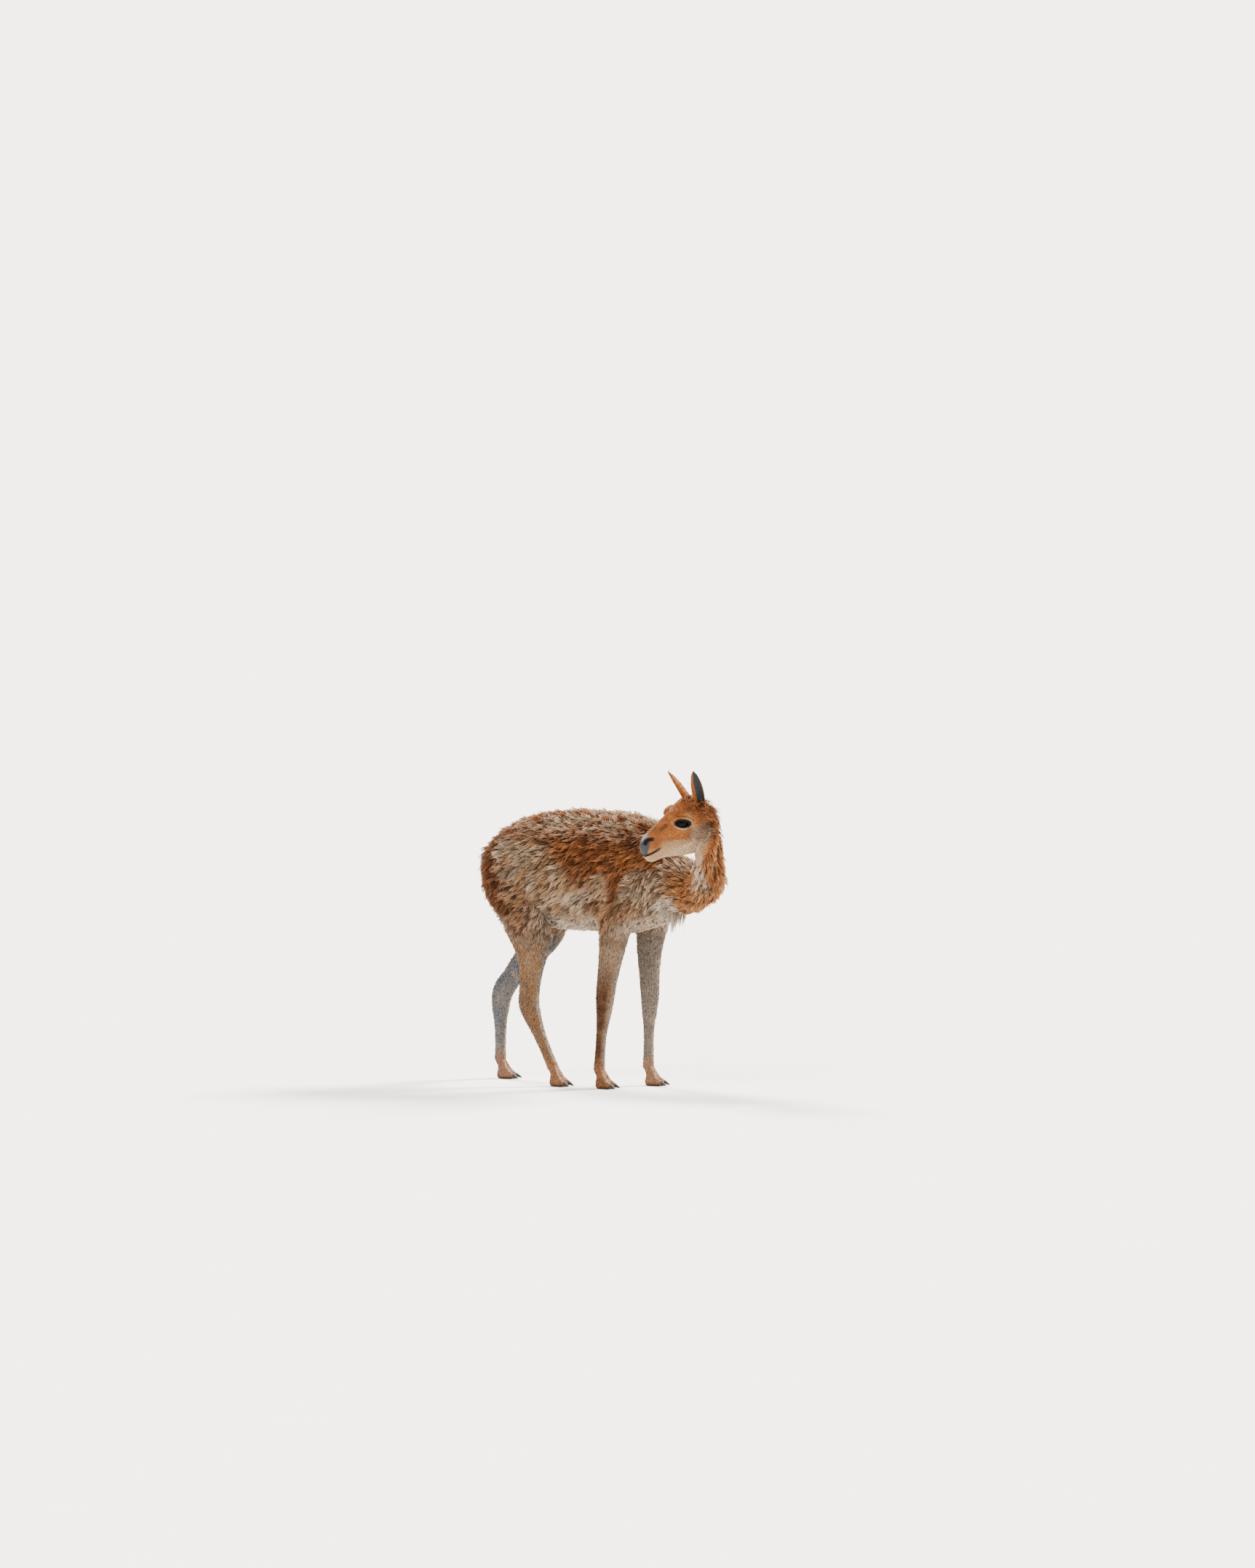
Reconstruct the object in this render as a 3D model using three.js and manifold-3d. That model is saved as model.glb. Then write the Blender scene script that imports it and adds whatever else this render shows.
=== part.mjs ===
// A life-size standing vicuna that looks back over its right shoulder, as a still museum model.
// Units are millimetres, +Z is up, +X is the way the body faces, and +Y is the animal's left.
// The origin is on the floor, under the middle of the model's outline.
import * as THREE from 'three';
import { LoftGeometry } from 'three/addons/geometries/LoftGeometry.js';
import { MeshSurfaceSampler } from 'three/addons/math/MeshSurfaceSampler.js';
import { mergeVertices } from 'three/addons/utils/BufferGeometryUtils.js';
import Module from 'manifold-3d';

const wasm = await Module();
wasm.setup();

// Sizes that the rest is worked out from
const GAP = 0.3; // left between two pieces that meet
const MIDDLE = [-91.5, 72.2, 0]; // moves the model so that its outline is centred on the origin
const EYE_RADIUS = 23;
const EAR_LENGTH = 154;
const COAT = 12; // depth of the wool's outer half, from its dense core to its tips

// The torso from the rump to the front of the chest: heights of the back and belly, and the half width
const TORSO = [
  { x: -358, top: 740, bottom: 640, half: 46 },
  { x: -343, top: 794, bottom: 588, half: 84 },
  { x: -308, top: 832, bottom: 558, half: 112 },
  { x: -250, top: 864, bottom: 534, half: 131 },
  { x: -165, top: 891, bottom: 519, half: 144 },
  { x: -70, top: 905, bottom: 513, half: 150 },
  { x: 20, top: 909, bottom: 511, half: 152 },
  { x: 110, top: 907, bottom: 508, half: 148 },
  { x: 198, top: 901, bottom: 510, half: 138 },
  { x: 268, top: 880, bottom: 527, half: 122 },
  { x: 322, top: 836, bottom: 552, half: 100 },
  { x: 358, top: 776, bottom: 583, half: 74 },
  { x: 375, top: 715, bottom: 612, half: 42 },
];
const WAIST = 0.47; // height of the torso's widest line, as a share of its depth
const TORSO_CORE = 0.965; // length of the wool's core, as a share of the torso's
const CHEST_CUT = 112; // where the chest ends and the barrel starts
const RUMP_CUT = -150;

// The neck from inside the chest to inside the skull. back is the way its upper side faces.
const NECK = [
  { at: [240, 0, 700], back: [0, 0, 1], half: 92, deep: 118 },
  { at: [345, -2, 672], back: [0.1, 0.1, 1], half: 76, deep: 100 },
  { at: [428, -22, 660], back: [0.1, 0.3, 0.95], half: 58, deep: 86 },
  { at: [496, -64, 686], back: [0, 0.9, 0.45], half: 60, deep: 60 },
  { at: [526, -107, 762], back: [0.4, 0.9, 0.1], half: 51, deep: 55 },
  { at: [529, -136, 850], back: [0.6, 0.8, 0], half: 50, deep: 57 },
  { at: [524, -148, 908], back: [0.7, 0.7, 0], half: 49, deep: 57 },
  { at: [516, -158, 948], back: [0.7, 0.7, 0], half: 32, deep: 34 },
];
const NECK_CUTS = [
  { at: [330, 0, 690], normal: [1, 0, 0] },
  { at: [462, -42, 672], normal: [0.75, -0.55, 0.35] },
  { at: [527, -118, 790], normal: [0.1, -0.35, 0.93] },
];

// The tail from inside the rump to its tip
const TAIL = [
  { at: [-318, 0, 770], back: [-0.3, 0, 1], half: 22, deep: 16 },
  { at: [-352, 0, 748], back: [-0.9, 0, 0.5], half: 25, deep: 19 },
  { at: [-361, 0, 690], back: [-1, 0, 0], half: 32, deep: 23 },
  { at: [-346, 0, 630], back: [-1, 0, 0.1], half: 31, deep: 22 },
  { at: [-322, 0, 578], back: [-1, 0, 0.2], half: 27, deep: 20 },
  { at: [-306, 0, 545], back: [-1, 0, 0.2], half: 15, deep: 12 },
];

// The rounded clumps of the fleece, by where they grow: their spacing and half sizes
const CLUMPS = {
  trunk: { apart: 89, long: 61, wide: 46, thick: 16 },
  neck: { apart: 63, long: 44, wide: 28, thick: 14 },
  tail: { apart: 42, long: 30, wide: 18, thick: 10 },
  crown: { apart: 39, long: 25, wide: 18, thick: 9 },
};
const CROWN = { front: -38, napeClear: 12, earHeight: 60, earClear: 44 };
const NECK_CORE_REACH = 47; // no place on the neck's core is farther from its middle line, near the head
const TAIL_WOOL = { top: 735, coat: 7 };
const CLUMP_SINK = 2; // how far a clump's middle lies under the core's surface
const CLUMP_TILT = 14; // how far its free end stands out, in degrees
const SCATTER = 0.15; // how much sizes and places vary
const SEED = 5;
const PLACES = 4000; // random places on the core that the clumps are picked from
const WOOL_FOOT = { clear: 42, fade: 90 }; // height over the bare leg where clumps start and the core is full

// The long white locks that hang from the breast
const BIB = {
  rows: [340, 360], // how far forward each row grows
  perRow: 6,
  side: 50, // half the tuft's width
  root: 612,
  tip: 532,
  half: 15,
  thick: 5,
  sway: 9,
  bend: 14,
  shorter: 0.3, // how much shorter the outer locks are
  curve: 14, // how far the rows' ends lie behind their middle
};

// How thick each kind of leg is at its levels, in front of, behind and beside its middle line
const HIND_BULK = [
  { fore: 88, aft: 80, half: 46 },
  { fore: 98, aft: 92, half: 54 },
  { fore: 96, aft: 94, half: 60 },
  { fore: 84, aft: 86, half: 56 },
  { fore: 71, aft: 74, half: 47 },
  { fore: 56, aft: 58, half: 38 },
  { fore: 41, aft: 42, half: 30 },
  { fore: 34, aft: 37, half: 25 },
  { fore: 33, aft: 39, half: 25 },
  { fore: 29, aft: 33, half: 23 },
  { fore: 20, aft: 22, half: 18 },
  { fore: 17, aft: 18, half: 16.5 },
  { fore: 18, aft: 19, half: 18 },
];
const FORE_BULK = [
  { fore: 50, aft: 60, half: 32 },
  { fore: 70, aft: 80, half: 50 },
  { fore: 78, aft: 84, half: 54 },
  { fore: 64, aft: 68, half: 48 },
  { fore: 50, aft: 50, half: 38 },
  { fore: 41, aft: 42, half: 30 },
  { fore: 34, aft: 35, half: 26 },
  { fore: 32, aft: 31, half: 25 },
  { fore: 25, aft: 25, half: 21 },
  { fore: 17, aft: 18, half: 16.5 },
  { fore: 16, aft: 17, half: 16 },
  { fore: 18, aft: 19, half: 18 },
];
const LEG_KINDS = {
  hind: { bulk: HIND_BULK, names: ['gaskin', 'hind_cannon', 'hind_foot'], cuts: [497, 262, 78] },
  fore: { bulk: FORE_BULK, names: ['forearm', 'fore_cannon', 'fore_foot'], cuts: [528, 292, 78] },
};
const THIGH = { margin: 20, top: 762 }; // flesh round the leg's own bulk that belongs to the thigh

// Where the middle line of each leg runs, from the hip or shoulder to the fetlock, and how its toes point
const LEGS = [
  {
    kind: 'hind',
    side: 'right',
    path: [
      [-255, -70, 770], [-236, -82, 700], [-212, -90, 632], [-180, -94, 562], [-156, -94, 500],
      [-148, -91, 438], [-153, -88, 376], [-158, -86, 316], [-160, -85, 268], [-149, -85, 230],
      [-124, -85, 172], [-96, -85, 112], [-71, -85, 60],
    ],
    toes: -4,
  },
  {
    kind: 'hind',
    side: 'left',
    path: [
      [-255, 70, 770], [-246, 82, 700], [-232, 90, 632], [-210, 94, 562], [-208, 94, 500], [-236, 91, 446],
      [-278, 89, 396], [-322, 88, 340], [-358, 87, 290], [-369, 87, 240], [-371, 87, 180], [-371, 87, 118],
      [-372, 87, 60],
    ],
    toes: 5,
  },
  {
    kind: 'fore',
    side: 'right',
    path: [
      [200, -60, 800], [232, -76, 720], [222, -86, 640], [186, -90, 570], [164, -91, 508], [150, -90, 432],
      [137, -90, 362], [128, -90, 300], [123, -90, 244], [116, -90, 184], [110, -90, 120], [106, -90, 60],
    ],
    toes: -3,
  },
  {
    kind: 'fore',
    side: 'left',
    path: [
      [200, 60, 800], [236, 76, 720], [230, 86, 640], [208, 90, 570], [198, 91, 508], [192, 90, 432],
      [192, 90, 362], [193, 90, 302], [192, 90, 244], [190, 90, 184], [189, 90, 120], [188, 90, 60],
    ],
    toes: 4,
  },
];

// One toe and its nail, from under the fetlock forwards. across is the distance from the foot's middle.
const TOE = [
  { x: 0, across: 6, z: 62, front: [1, 0, 0.2], over: 14, under: 15, half: 11 },
  { x: 10, across: 8, z: 45, front: [0.85, 0, 0.5], over: 14, under: 16, half: 11.5 },
  { x: 22, across: 11, z: 28, front: [0.5, 0, 0.9], over: 12, under: 38, half: 12 },
  { x: 36, across: 13, z: 18, front: [0.25, 0, 1], over: 9.5, under: 26, half: 12 },
  { x: 48, across: 14, z: 12, front: [0.2, 0, 1], over: 8, under: 17, half: 10 },
  { x: 54, across: 14, z: 9, front: [0.2, 0, 1], over: 6, under: 7, half: 7 },
];
const NAIL = [
  { x: 42, across: 14, z: 15, front: [0.3, 0, 1], over: 7, under: 7, half: 7 },
  { x: 54, across: 14.5, z: 11, front: [0.35, 0, 1], over: 6, under: 6, half: 6 },
  { x: 63, across: 15, z: 7, front: [0.45, 0, 1], over: 4, under: 4, half: 4.2 },
  { x: 70, across: 15, z: 3.4, front: [0.5, 0, 1], over: 1.4, under: 1.4, half: 1.6 },
];
const NAIL_CUT = 48; // where the nail starts

// The head in its own frame: +X to the nose, +Y to its left, the origin midway between the eyes
const HEAD_AT = [469, -212, 902];
const HEAD_TURN = { yaw: -136, pitch: 30, roll: -10 }; // degrees
const HEAD = [
  { x: -114, top: -20, bottom: -66, half: 22, crown: 0, jaw: 0 },
  { x: -106, top: -4, bottom: -84, half: 31, crown: 0.1, jaw: 0.1 },
  { x: -90, top: 22, bottom: -102, half: 41, crown: 0.12, jaw: 0.2 },
  { x: -62, top: 50, bottom: -120, half: 51, crown: 0.2, jaw: 0.34 },
  { x: -28, top: 52, bottom: -130, half: 57, crown: 0.28, jaw: 0.46 },
  { x: 5, top: 42, bottom: -128, half: 57, crown: 0.3, jaw: 0.52 },
  { x: 30, top: 34, bottom: -119, half: 48, crown: 0.3, jaw: 0.5 },
  { x: 56, top: 28, bottom: -107, half: 38, crown: 0.28, jaw: 0.42 },
  { x: 80, top: 22, bottom: -96, half: 31, crown: 0.22, jaw: 0.36 },
  { x: 102, top: 16, bottom: -87, half: 28.5, crown: 0.16, jaw: 0.34 },
  { x: 122, top: 9, bottom: -84, half: 27, crown: 0.12, jaw: 0.34 },
  { x: 138, top: 1, bottom: -81, half: 23, crown: 0.1, jaw: 0.3 },
  { x: 149, top: -9, bottom: -72, half: 17, crown: 0.1, jaw: 0.3 },
  { x: 155, top: -24, bottom: -58, half: 10, crown: 0, jaw: 0 },
];
const CHEEK = 0.6; // height of the head's widest line, as a share of its depth
const NAPE_CUT = { at: [-92, 0, -90], normal: [0.62, 0, 0.78] };
const EYE = { at: [-2, 33, -6.5], long: 24, high: 14.5, tilt: -28, upper: 4.2, lower: 3 };
const MOUTH = { corner: 100, height: -45, depth: 6, opening: 1.8, lip: 3.4 };
const NOSTRIL = { x: 129, z: -4, long: 12, deep: 6, high: 3, tilt: 12, wing: 3 };
const CLEFT = { x: 157, z: -30, deep: 6, wide: 1.6, high: 24 };

// An ear from its root to its tip, as the rolled rim of a cup: arc is half the angle that the rim wraps
const EAR = [
  { share: -0.1, wide: 13, deep: 13, arc: 150, thick: 4 },
  { share: 0.03, wide: 15, deep: 15, arc: 140, thick: 4 },
  { share: 0.2, wide: 18, deep: 15, arc: 115, thick: 3.6 },
  { share: 0.42, wide: 21, deep: 13, arc: 98, thick: 3 },
  { share: 0.64, wide: 19, deep: 11, arc: 90, thick: 2.8 },
  { share: 0.84, wide: 13, deep: 8, arc: 86, thick: 2.4 },
  { share: 0.95, wide: 6, deep: 4.5, arc: 84, thick: 2 },
  { share: 1, wide: 2, deep: 2, arc: 80, thick: 1 },
];
const EARS = {
  left: { at: [-82, 37, 0], along: [-0.163, 0.233, 0.959], open: [0.3, 0.9, 0] },
  right: { at: [-70, -37, -20], along: [0, -0.2, 0.97], open: [0.75, -0.62, 0] },
};
const EAR_BEND = 12; // how far the tip leans in

const FLEECE = new THREE.MeshStandardMaterial({ color: '#b9804f', roughness: 0.92, metalness: 0 });
const SHORT_FUR = new THREE.MeshStandardMaterial({ color: '#b39b86', roughness: 0.85, metalness: 0 });
const FACE_FUR = new THREE.MeshStandardMaterial({ color: '#a8744a', roughness: 0.8, metalness: 0 });
const EYE_GLOSS = new THREE.MeshStandardMaterial({ color: '#140d0a', roughness: 0.08, metalness: 0 });
const NAIL_HORN = new THREE.MeshStandardMaterial({ color: '#2c2723', roughness: 0.45, metalness: 0 });

const vec = (values) => new THREE.Vector3(...values);
const radians = THREE.MathUtils.degToRad;
const FORWARD = vec([1, 0, 0]);
const ACROSS = vec([0, 1, 0]);
const DOWN = vec([0, 0, -1]);

// A closed geometry as a solid that can be joined and cut
function solidOf(geometry) {
  const bare = new THREE.BufferGeometry().copy(geometry);
  bare.deleteAttribute('normal');
  bare.deleteAttribute('uv');
  const merged = mergeVertices(bare, 1e-3);
  return new wasm.Manifold(new wasm.Mesh({
    numProp: 3,
    vertProperties: merged.attributes.position.array,
    triVerts: new Uint32Array(merged.index.array),
  }));
}

// A solid as a geometry again, with only its largest closed surface kept
function geometryOf(solid) {
  const bodies = solid.decompose().sort((a, b) => b.volume() - a.volume());
  const { vertProperties, triVerts } = bodies[0].getMesh();
  const geometry = new THREE.BufferGeometry();
  geometry.setAttribute('position', new THREE.BufferAttribute(vertProperties, 3));
  geometry.setIndex(new THREE.BufferAttribute(triVerts, 1));
  geometry.computeVertexNormals();
  return geometry;
}

// The part of a solid that lies where a plane's normal points, half a gap from the plane
function beyond(solid, { at, normal }) {
  const way = vec(normal).normalize();
  return solid.trimByPlane(way.toArray(), way.dot(vec(at)) + GAP / 2);
}

const turned = ({ at, normal }) => ({ at, normal: normal.map((value) => -value) });
const behind = (solid, plane) => beyond(solid, turned(plane));
const level = (z) => ({ at: [0, 0, z], normal: [0, 0, 1] });
const upright = (x) => ({ at: [x, 0, 0], normal: [1, 0, 0] });

// A smooth run through rows of three numbers, as a function of t from 0 to 1
function smooth(rows) {
  const curve = new THREE.CatmullRomCurve3(rows.map(vec), false, 'catmullrom', 0.5);
  return (t) => curve.getPoint(t);
}

// A tube that swells and bends. A station has a centre (at), the way its upper side faces (up), how far
// it reaches over and under the centre, its half width, and how much its upper side (crown) and lower
// side (jaw) narrow. Its sections stand square to the bend, or all face one way.
function tube(stations, { rings, sides, grow = 0, facing = null }) {
  const spine = new THREE.CatmullRomCurve3(stations.map((s) => vec(s.at)), false, 'catmullrom', 0.5);
  const ups = smooth(stations.map((s) => s.up));
  const reach = smooth(stations.map((s) => [s.over, s.under, s.half]));
  const narrow = smooth(stations.map((s) => [s.crown ?? 0, s.jaw ?? 0, 0]));
  const sections = [];
  for (let i = 0; i <= rings; i++) {
    const t = i / rings;
    const along = facing ?? spine.getTangent(t);
    const up = ups(t);
    up.addScaledVector(along, -up.dot(along)).normalize();
    const side = new THREE.Vector3().crossVectors(up, along);
    const size = reach(t).addScalar(grow);
    const taper = narrow(t);
    const section = [];
    for (let j = 0; j < sides; j++) {
      const angle = (2 * Math.PI * (j + 0.5)) / sides;
      const c = Math.cos(angle);
      const s = Math.sin(angle);
      const width = size.z * c * (1 - (s > 0 ? taper.x : taper.y) * s * s);
      const height = s * (s > 0 ? size.x : size.y);
      section.push(spine.getPoint(t).addScaledVector(side, width).addScaledVector(up, height));
    }
    sections.push(section);
  }
  return new LoftGeometry(sections, { capStart: true, capEnd: true });
}

// A round rope through points, thinner at its ends, such as a lid or a lip
function rope(points, radius) {
  const stations = points.map((point, i) => {
    const r = i === 0 || i === points.length - 1 ? radius * 0.6 : radius;
    return { at: point.toArray(), up: [0, 0, 1], over: r, under: r, half: r };
  });
  return solidOf(tube(stations, { rings: points.length - 1, sides: 6 }));
}

const ellipsoid = ([x, y, z]) => new THREE.SphereGeometry(1, 10, 8).scale(x, y, z);

const caster = new THREE.Raycaster();
function surfacePoint(skin, from, towards) {
  caster.set(from, towards.clone().sub(from).normalize());
  return caster.intersectObject(skin)[0].point;
}

// Repeatable random numbers, from 0 to 1 and around 1
THREE.MathUtils.seededRandom(SEED);
const random = () => THREE.MathUtils.seededRandom();
const around = () => 1 + SCATTER * (2 * random() - 1);

// Random places on a solid's surface. kindAt names the kind of clump that grows at a place, if any.
function placesOn(solid, kindAt) {
  const sampler = new MeshSurfaceSampler(new THREE.Mesh(geometryOf(solid).toNonIndexed()));
  sampler.setRandomGenerator(random).build();
  const places = Array.from({ length: PLACES }, () => {
    const at = new THREE.Vector3();
    const out = new THREE.Vector3();
    sampler.sample(at, out);
    return { at, out, kind: kindAt(at, out) };
  });
  return Map.groupBy(places.filter(({ kind }) => kind), ({ kind }) => kind);
}

function nearest(at, places) {
  const far = places.map((place) => place.at.distanceToSquared(at));
  return far.indexOf(Math.min(...far));
}

// Picks some of the places, spread evenly: each moves to the middle of those that lie nearest to it
function spread(places, count) {
  let spots = places.slice(0, count);
  for (let round = 0; round < 6; round++) {
    const groups = Map.groupBy(places, ({ at }) => nearest(at, spots));
    spots = [...groups.values()].map((group) => {
      const sum = group.reduce((total, { at }) => total.add(at), new THREE.Vector3());
      return group[nearest(sum.divideScalar(group.length), group)];
    });
  }
  return spots;
}

// Wool lies along lieAt(place, outward), and each clump's free end stands out a little
function clump({ at, out, kind }, lieAt) {
  const { long, wide, thick } = CLUMPS[kind];
  const tilt = radians(CLUMP_TILT) * around();
  const lie = lieAt(at, out).addScaledVector(out, -lieAt(at, out).dot(out)).normalize();
  lie.applyAxisAngle(out, SCATTER * (2 * random() - 1) * 2);
  const across = new THREE.Vector3().crossVectors(out, lie);
  const along = lie.clone().multiplyScalar(Math.cos(tilt)).addScaledVector(out, Math.sin(tilt));
  const up = new THREE.Vector3().crossVectors(along, across);
  const place = new THREE.Matrix4().makeBasis(along, across, up);
  place.setPosition(at.clone().addScaledVector(out, -CLUMP_SINK));
  const size = [long * around(), wide * around(), thick * around()];
  return (grow) => {
    const shape = new THREE.SphereGeometry(1, 6, 3).rotateZ(Math.PI / 2);
    shape.scale(...size.map((half) => half + grow));
    return solidOf(shape.applyMatrix4(place));
  };
}

const EMPTY = solidOf(new THREE.BoxGeometry(1, 1, 1)).trimByPlane([0, 0, 1], 1);
const joined = (clumps, grow) => clumps.reduce((all, make) => all.add(make(grow)), EMPTY);

// The scene graph
const vicuna = new THREE.Group();
const animal = new THREE.Group();
animal.position.set(...MIDDLE);
vicuna.add(animal);

function show(name, solid, material, group = animal) {
  const mesh = new THREE.Mesh(geometryOf(solid), material);
  mesh.name = name;
  group.add(mesh);
}

// The wool's core lies a coat's depth inside the outline, but for the belly, where it hangs flat
const torsoStations = TORSO.map(({ x, top, bottom, half }) => {
  const waist = bottom + (top - bottom) * WAIST;
  const reach = { over: top - waist - COAT, under: waist - bottom, half: half - COAT };
  return { at: [x * TORSO_CORE, 0, waist], up: [0, 0, 1], ...reach, crown: 0.12, jaw: 0.1 };
});
function evenStation({ at, back, half, deep }, coat) {
  return { at, up: back, over: deep - coat, under: deep - coat, half: half - coat };
}

const neckStations = NECK.map((row) => evenStation(row, COAT));
const tailStations = TAIL.map((row) => evenStation(row, row.at[2] < TAIL_WOOL.top ? TAIL_WOOL.coat : 0));

// A leg's outline, or with a coat the wool's core inside it, which starts over the bare lower leg
function legStations({ kind, path }, coat) {
  const { bulk, cuts } = LEG_KINDS[kind];
  return path.map((at, i) => {
    const { fore, aft, half } = bulk[i];
    const depth = coat * THREE.MathUtils.smoothstep(at[2], cuts[0], cuts[0] + WOOL_FOOT.fade);
    return { at, up: [1, 0, 0], over: fore - depth, under: aft - depth, half: half - depth };
  });
}

function legTube(leg, { grow = 0, coat = 0, facing = null } = {}) {
  return solidOf(tube(legStations(leg, coat), { rings: 20, sides: 8, grow, facing }));
}

const neckCore = (grow) => solidOf(tube(neckStations, { rings: 15, sides: 10, grow }));
const tailCore = (grow) => solidOf(tube(tailStations, { rings: 10, sides: 8, grow }));

const neckSpine = new THREE.CatmullRomCurve3(NECK.map(({ at }) => vec(at)), false, 'catmullrom', 0.5);
const NECK_FRONT = NECK_CUTS[0].at[0];

// The core of the trunk, the neck and the upper legs, made whole
function buildCore() {
  const torso = solidOf(tube(torsoStations, { rings: 13, sides: 14, facing: FORWARD }));
  return LEGS.reduce((core, leg) => {
    const [top] = LEG_KINDS[leg.kind].cuts;
    return core.add(beyond(legTube(leg, { coat: COAT }), level(top)));
  }, torso.add(neckCore(0)));
}

// Clumps grow on the back, sides and neck, not under the belly, between the legs or near the bare legs
function bodyKind(at, out) {
  const onBreast = out.z < -0.6 && at.x < BIB.rows.at(-1) + 20 && Math.abs(at.y) < BIB.side;
  if (at.x > NECK_FRONT) return onBreast ? null : 'neck';
  const inward = out.y * Math.sign(at.y) < 0.15 && at.z < 620;
  const foot = LEG_KINDS[at.x > 0 ? 'fore' : 'hind'].cuts[0] + WOOL_FOOT.clear;
  return inward || out.z < -0.45 || at.z < foot ? null : 'trunk';
}

// On the tail, clumps grow on the side that faces away from the rump
const tailKind = (at, out) => (at.z < TAIL_WOOL.top && out.x < 0.3 ? 'tail' : null);

// Wool lies down the neck towards the shoulders, back along the spine, and down and back on the sides
function bodyLie(at, out) {
  if (at.x < NECK_FRONT) return vec([-1, 0, -1.1 * (1 - Math.abs(out.z))]);
  const steps = neckSpine.getSpacedPoints(24);
  const nearest = steps.reduce((best, p, i) => (p.distanceTo(at) < steps[best].distanceTo(at) ? i : best), 0);
  return neckSpine.getTangentAt(nearest / 24).negate();
}

// A flat tapered lock that hangs from the breast and bends back at its tip
function bibLock(x, y) {
  const length = (BIB.root - BIB.tip) * around() * (1 - BIB.shorter * (y / BIB.side) ** 2);
  const sway = BIB.sway * (2 * random() - 1);
  const rows = [[-0.25, -10, 0.7], [0.15, 2, 1], [0.6, 0, 0.8], [1, -BIB.bend, 0.1]];
  const stations = rows.map(([drop, fore, size]) => ({
    at: [x + fore, y + sway * drop, BIB.root - length * drop],
    up: [1, 0, 0],
    over: BIB.thick * size,
    under: BIB.thick * size,
    half: BIB.half * size,
  }));
  return solidOf(tube(stations, { rings: 3, sides: 4 }));
}

// Two rows of locks, the front one staggered against the rear one
function bib() {
  const locks = BIB.rows.flatMap((x, row) => Array.from({ length: BIB.perRow - row }, (_, i) => {
    const share = (2 * (i + 0.5 + row / 2)) / BIB.perRow - 1;
    return bibLock(x - BIB.curve * share * share, share * BIB.side);
  }));
  return locks.reduce((all, one) => all.add(one));
}

// The trunk and neck with their wool, and room for the lower legs and other pieces
function buildBody(core, wool, rooms) {
  let body = core.add(joined(wool, 0)).add(bib());
  for (const leg of LEGS) {
    const [top] = LEG_KINDS[leg.kind].cuts;
    body = body.subtract(behind(legTube(leg, { grow: GAP }), level(top + GAP / 2)));
  }
  return rooms.reduce((rest, room) => rest.subtract(room), body);
}

// A thigh is all that lies within a margin round the leg's own bulk
function partThighs(body) {
  let rest = body;
  for (const leg of LEGS.filter(({ kind }) => kind === 'hind')) {
    const room = (extra) => {
      const bulk = legTube(leg, { grow: THIGH.margin + extra, facing: DOWN });
      return bulk.trimByPlane([0, 0, -1], -THIGH.top - extra);
    };
    show(`thigh_${leg.side}`, body.intersect(room(0)), FLEECE);
    rest = rest.subtract(room(GAP));
  }
  return rest;
}

function partTrunkAndNeck(body) {
  const trunk = behind(body, NECK_CUTS[0]);
  show('chest', beyond(trunk, upright(CHEST_CUT)), FLEECE);
  show('barrel', behind(beyond(trunk, upright(RUMP_CUT)), upright(CHEST_CUT)), FLEECE);
  show('rump', behind(trunk, upright(RUMP_CUT)), FLEECE);
  const neck = beyond(body, NECK_CUTS[0]);
  const bent = beyond(neck, NECK_CUTS[1]);
  show('neck_base', behind(neck, NECK_CUTS[1]), FLEECE);
  show('neck_middle', behind(bent, NECK_CUTS[2]), FLEECE);
  show('neck_upper', beyond(bent, NECK_CUTS[2]), FLEECE);
}

function toeStations(rows, across) {
  return rows.map(({ x, across: out, z, front, over, under, half }) => (
    { at: [x, across * out, z], up: front, over, under, half }
  ));
}

// Two toes with nails spread from the fetlock, and their pads are flat on the floor
function buildFoot(leg, ankle) {
  const [x, y] = leg.path.at(-1);
  const foot = new THREE.Group();
  foot.position.set(x, y, 0);
  foot.rotation.z = radians(leg.toes);
  foot.updateMatrix();
  animal.add(foot);
  let paw = ankle;
  for (const [across, where] of [[1, 'left'], [-1, 'right']]) {
    const toe = solidOf(tube(toeStations(TOE, across), { rings: 6, sides: 6 }));
    const nail = solidOf(tube(toeStations(NAIL, across), { rings: 3, sides: 6 }));
    paw = paw.add(behind(toe, upright(NAIL_CUT)).transform(foot.matrix.toArray()));
    show(`${leg.kind}_nail_${leg.side}_${where}`, beyond(nail, upright(NAIL_CUT)), NAIL_HORN, foot);
  }
  show(`${leg.kind}_foot_${leg.side}`, paw.trimByPlane([0, 0, 1], 0), SHORT_FUR);
}

function buildLowerLeg(leg) {
  const { names, cuts } = LEG_KINDS[leg.kind];
  const whole = legTube(leg);
  const lowered = (i) => behind(whole, level(cuts[i]));
  show(`${names[0]}_${leg.side}`, beyond(lowered(0), level(cuts[1])), SHORT_FUR);
  show(`${names[1]}_${leg.side}`, beyond(lowered(1), level(cuts[2])), SHORT_FUR);
  buildFoot(leg, lowered(2));
}

// The head is made in its own frame
const headGroup = new THREE.Group();
headGroup.position.set(...HEAD_AT);
headGroup.rotation.set(radians(HEAD_TURN.roll), radians(HEAD_TURN.pitch), radians(HEAD_TURN.yaw), 'ZYX');
headGroup.updateMatrix();
animal.add(headGroup);

const headStations = HEAD.map(({ x, top, bottom, half, crown, jaw }) => {
  const waist = bottom + (top - bottom) * CHEEK;
  return { at: [x, 0, waist], up: [0, 0, 1], over: top - waist, under: waist - bottom, half, crown, jaw };
});
const headTube = (grow) => tube(headStations, { rings: 20, sides: 16, grow, facing: FORWARD });
const skull = headTube(0);
const skullSkin = new THREE.Mesh(skull);
const SIDES = { left: 1, right: -1 };

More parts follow.
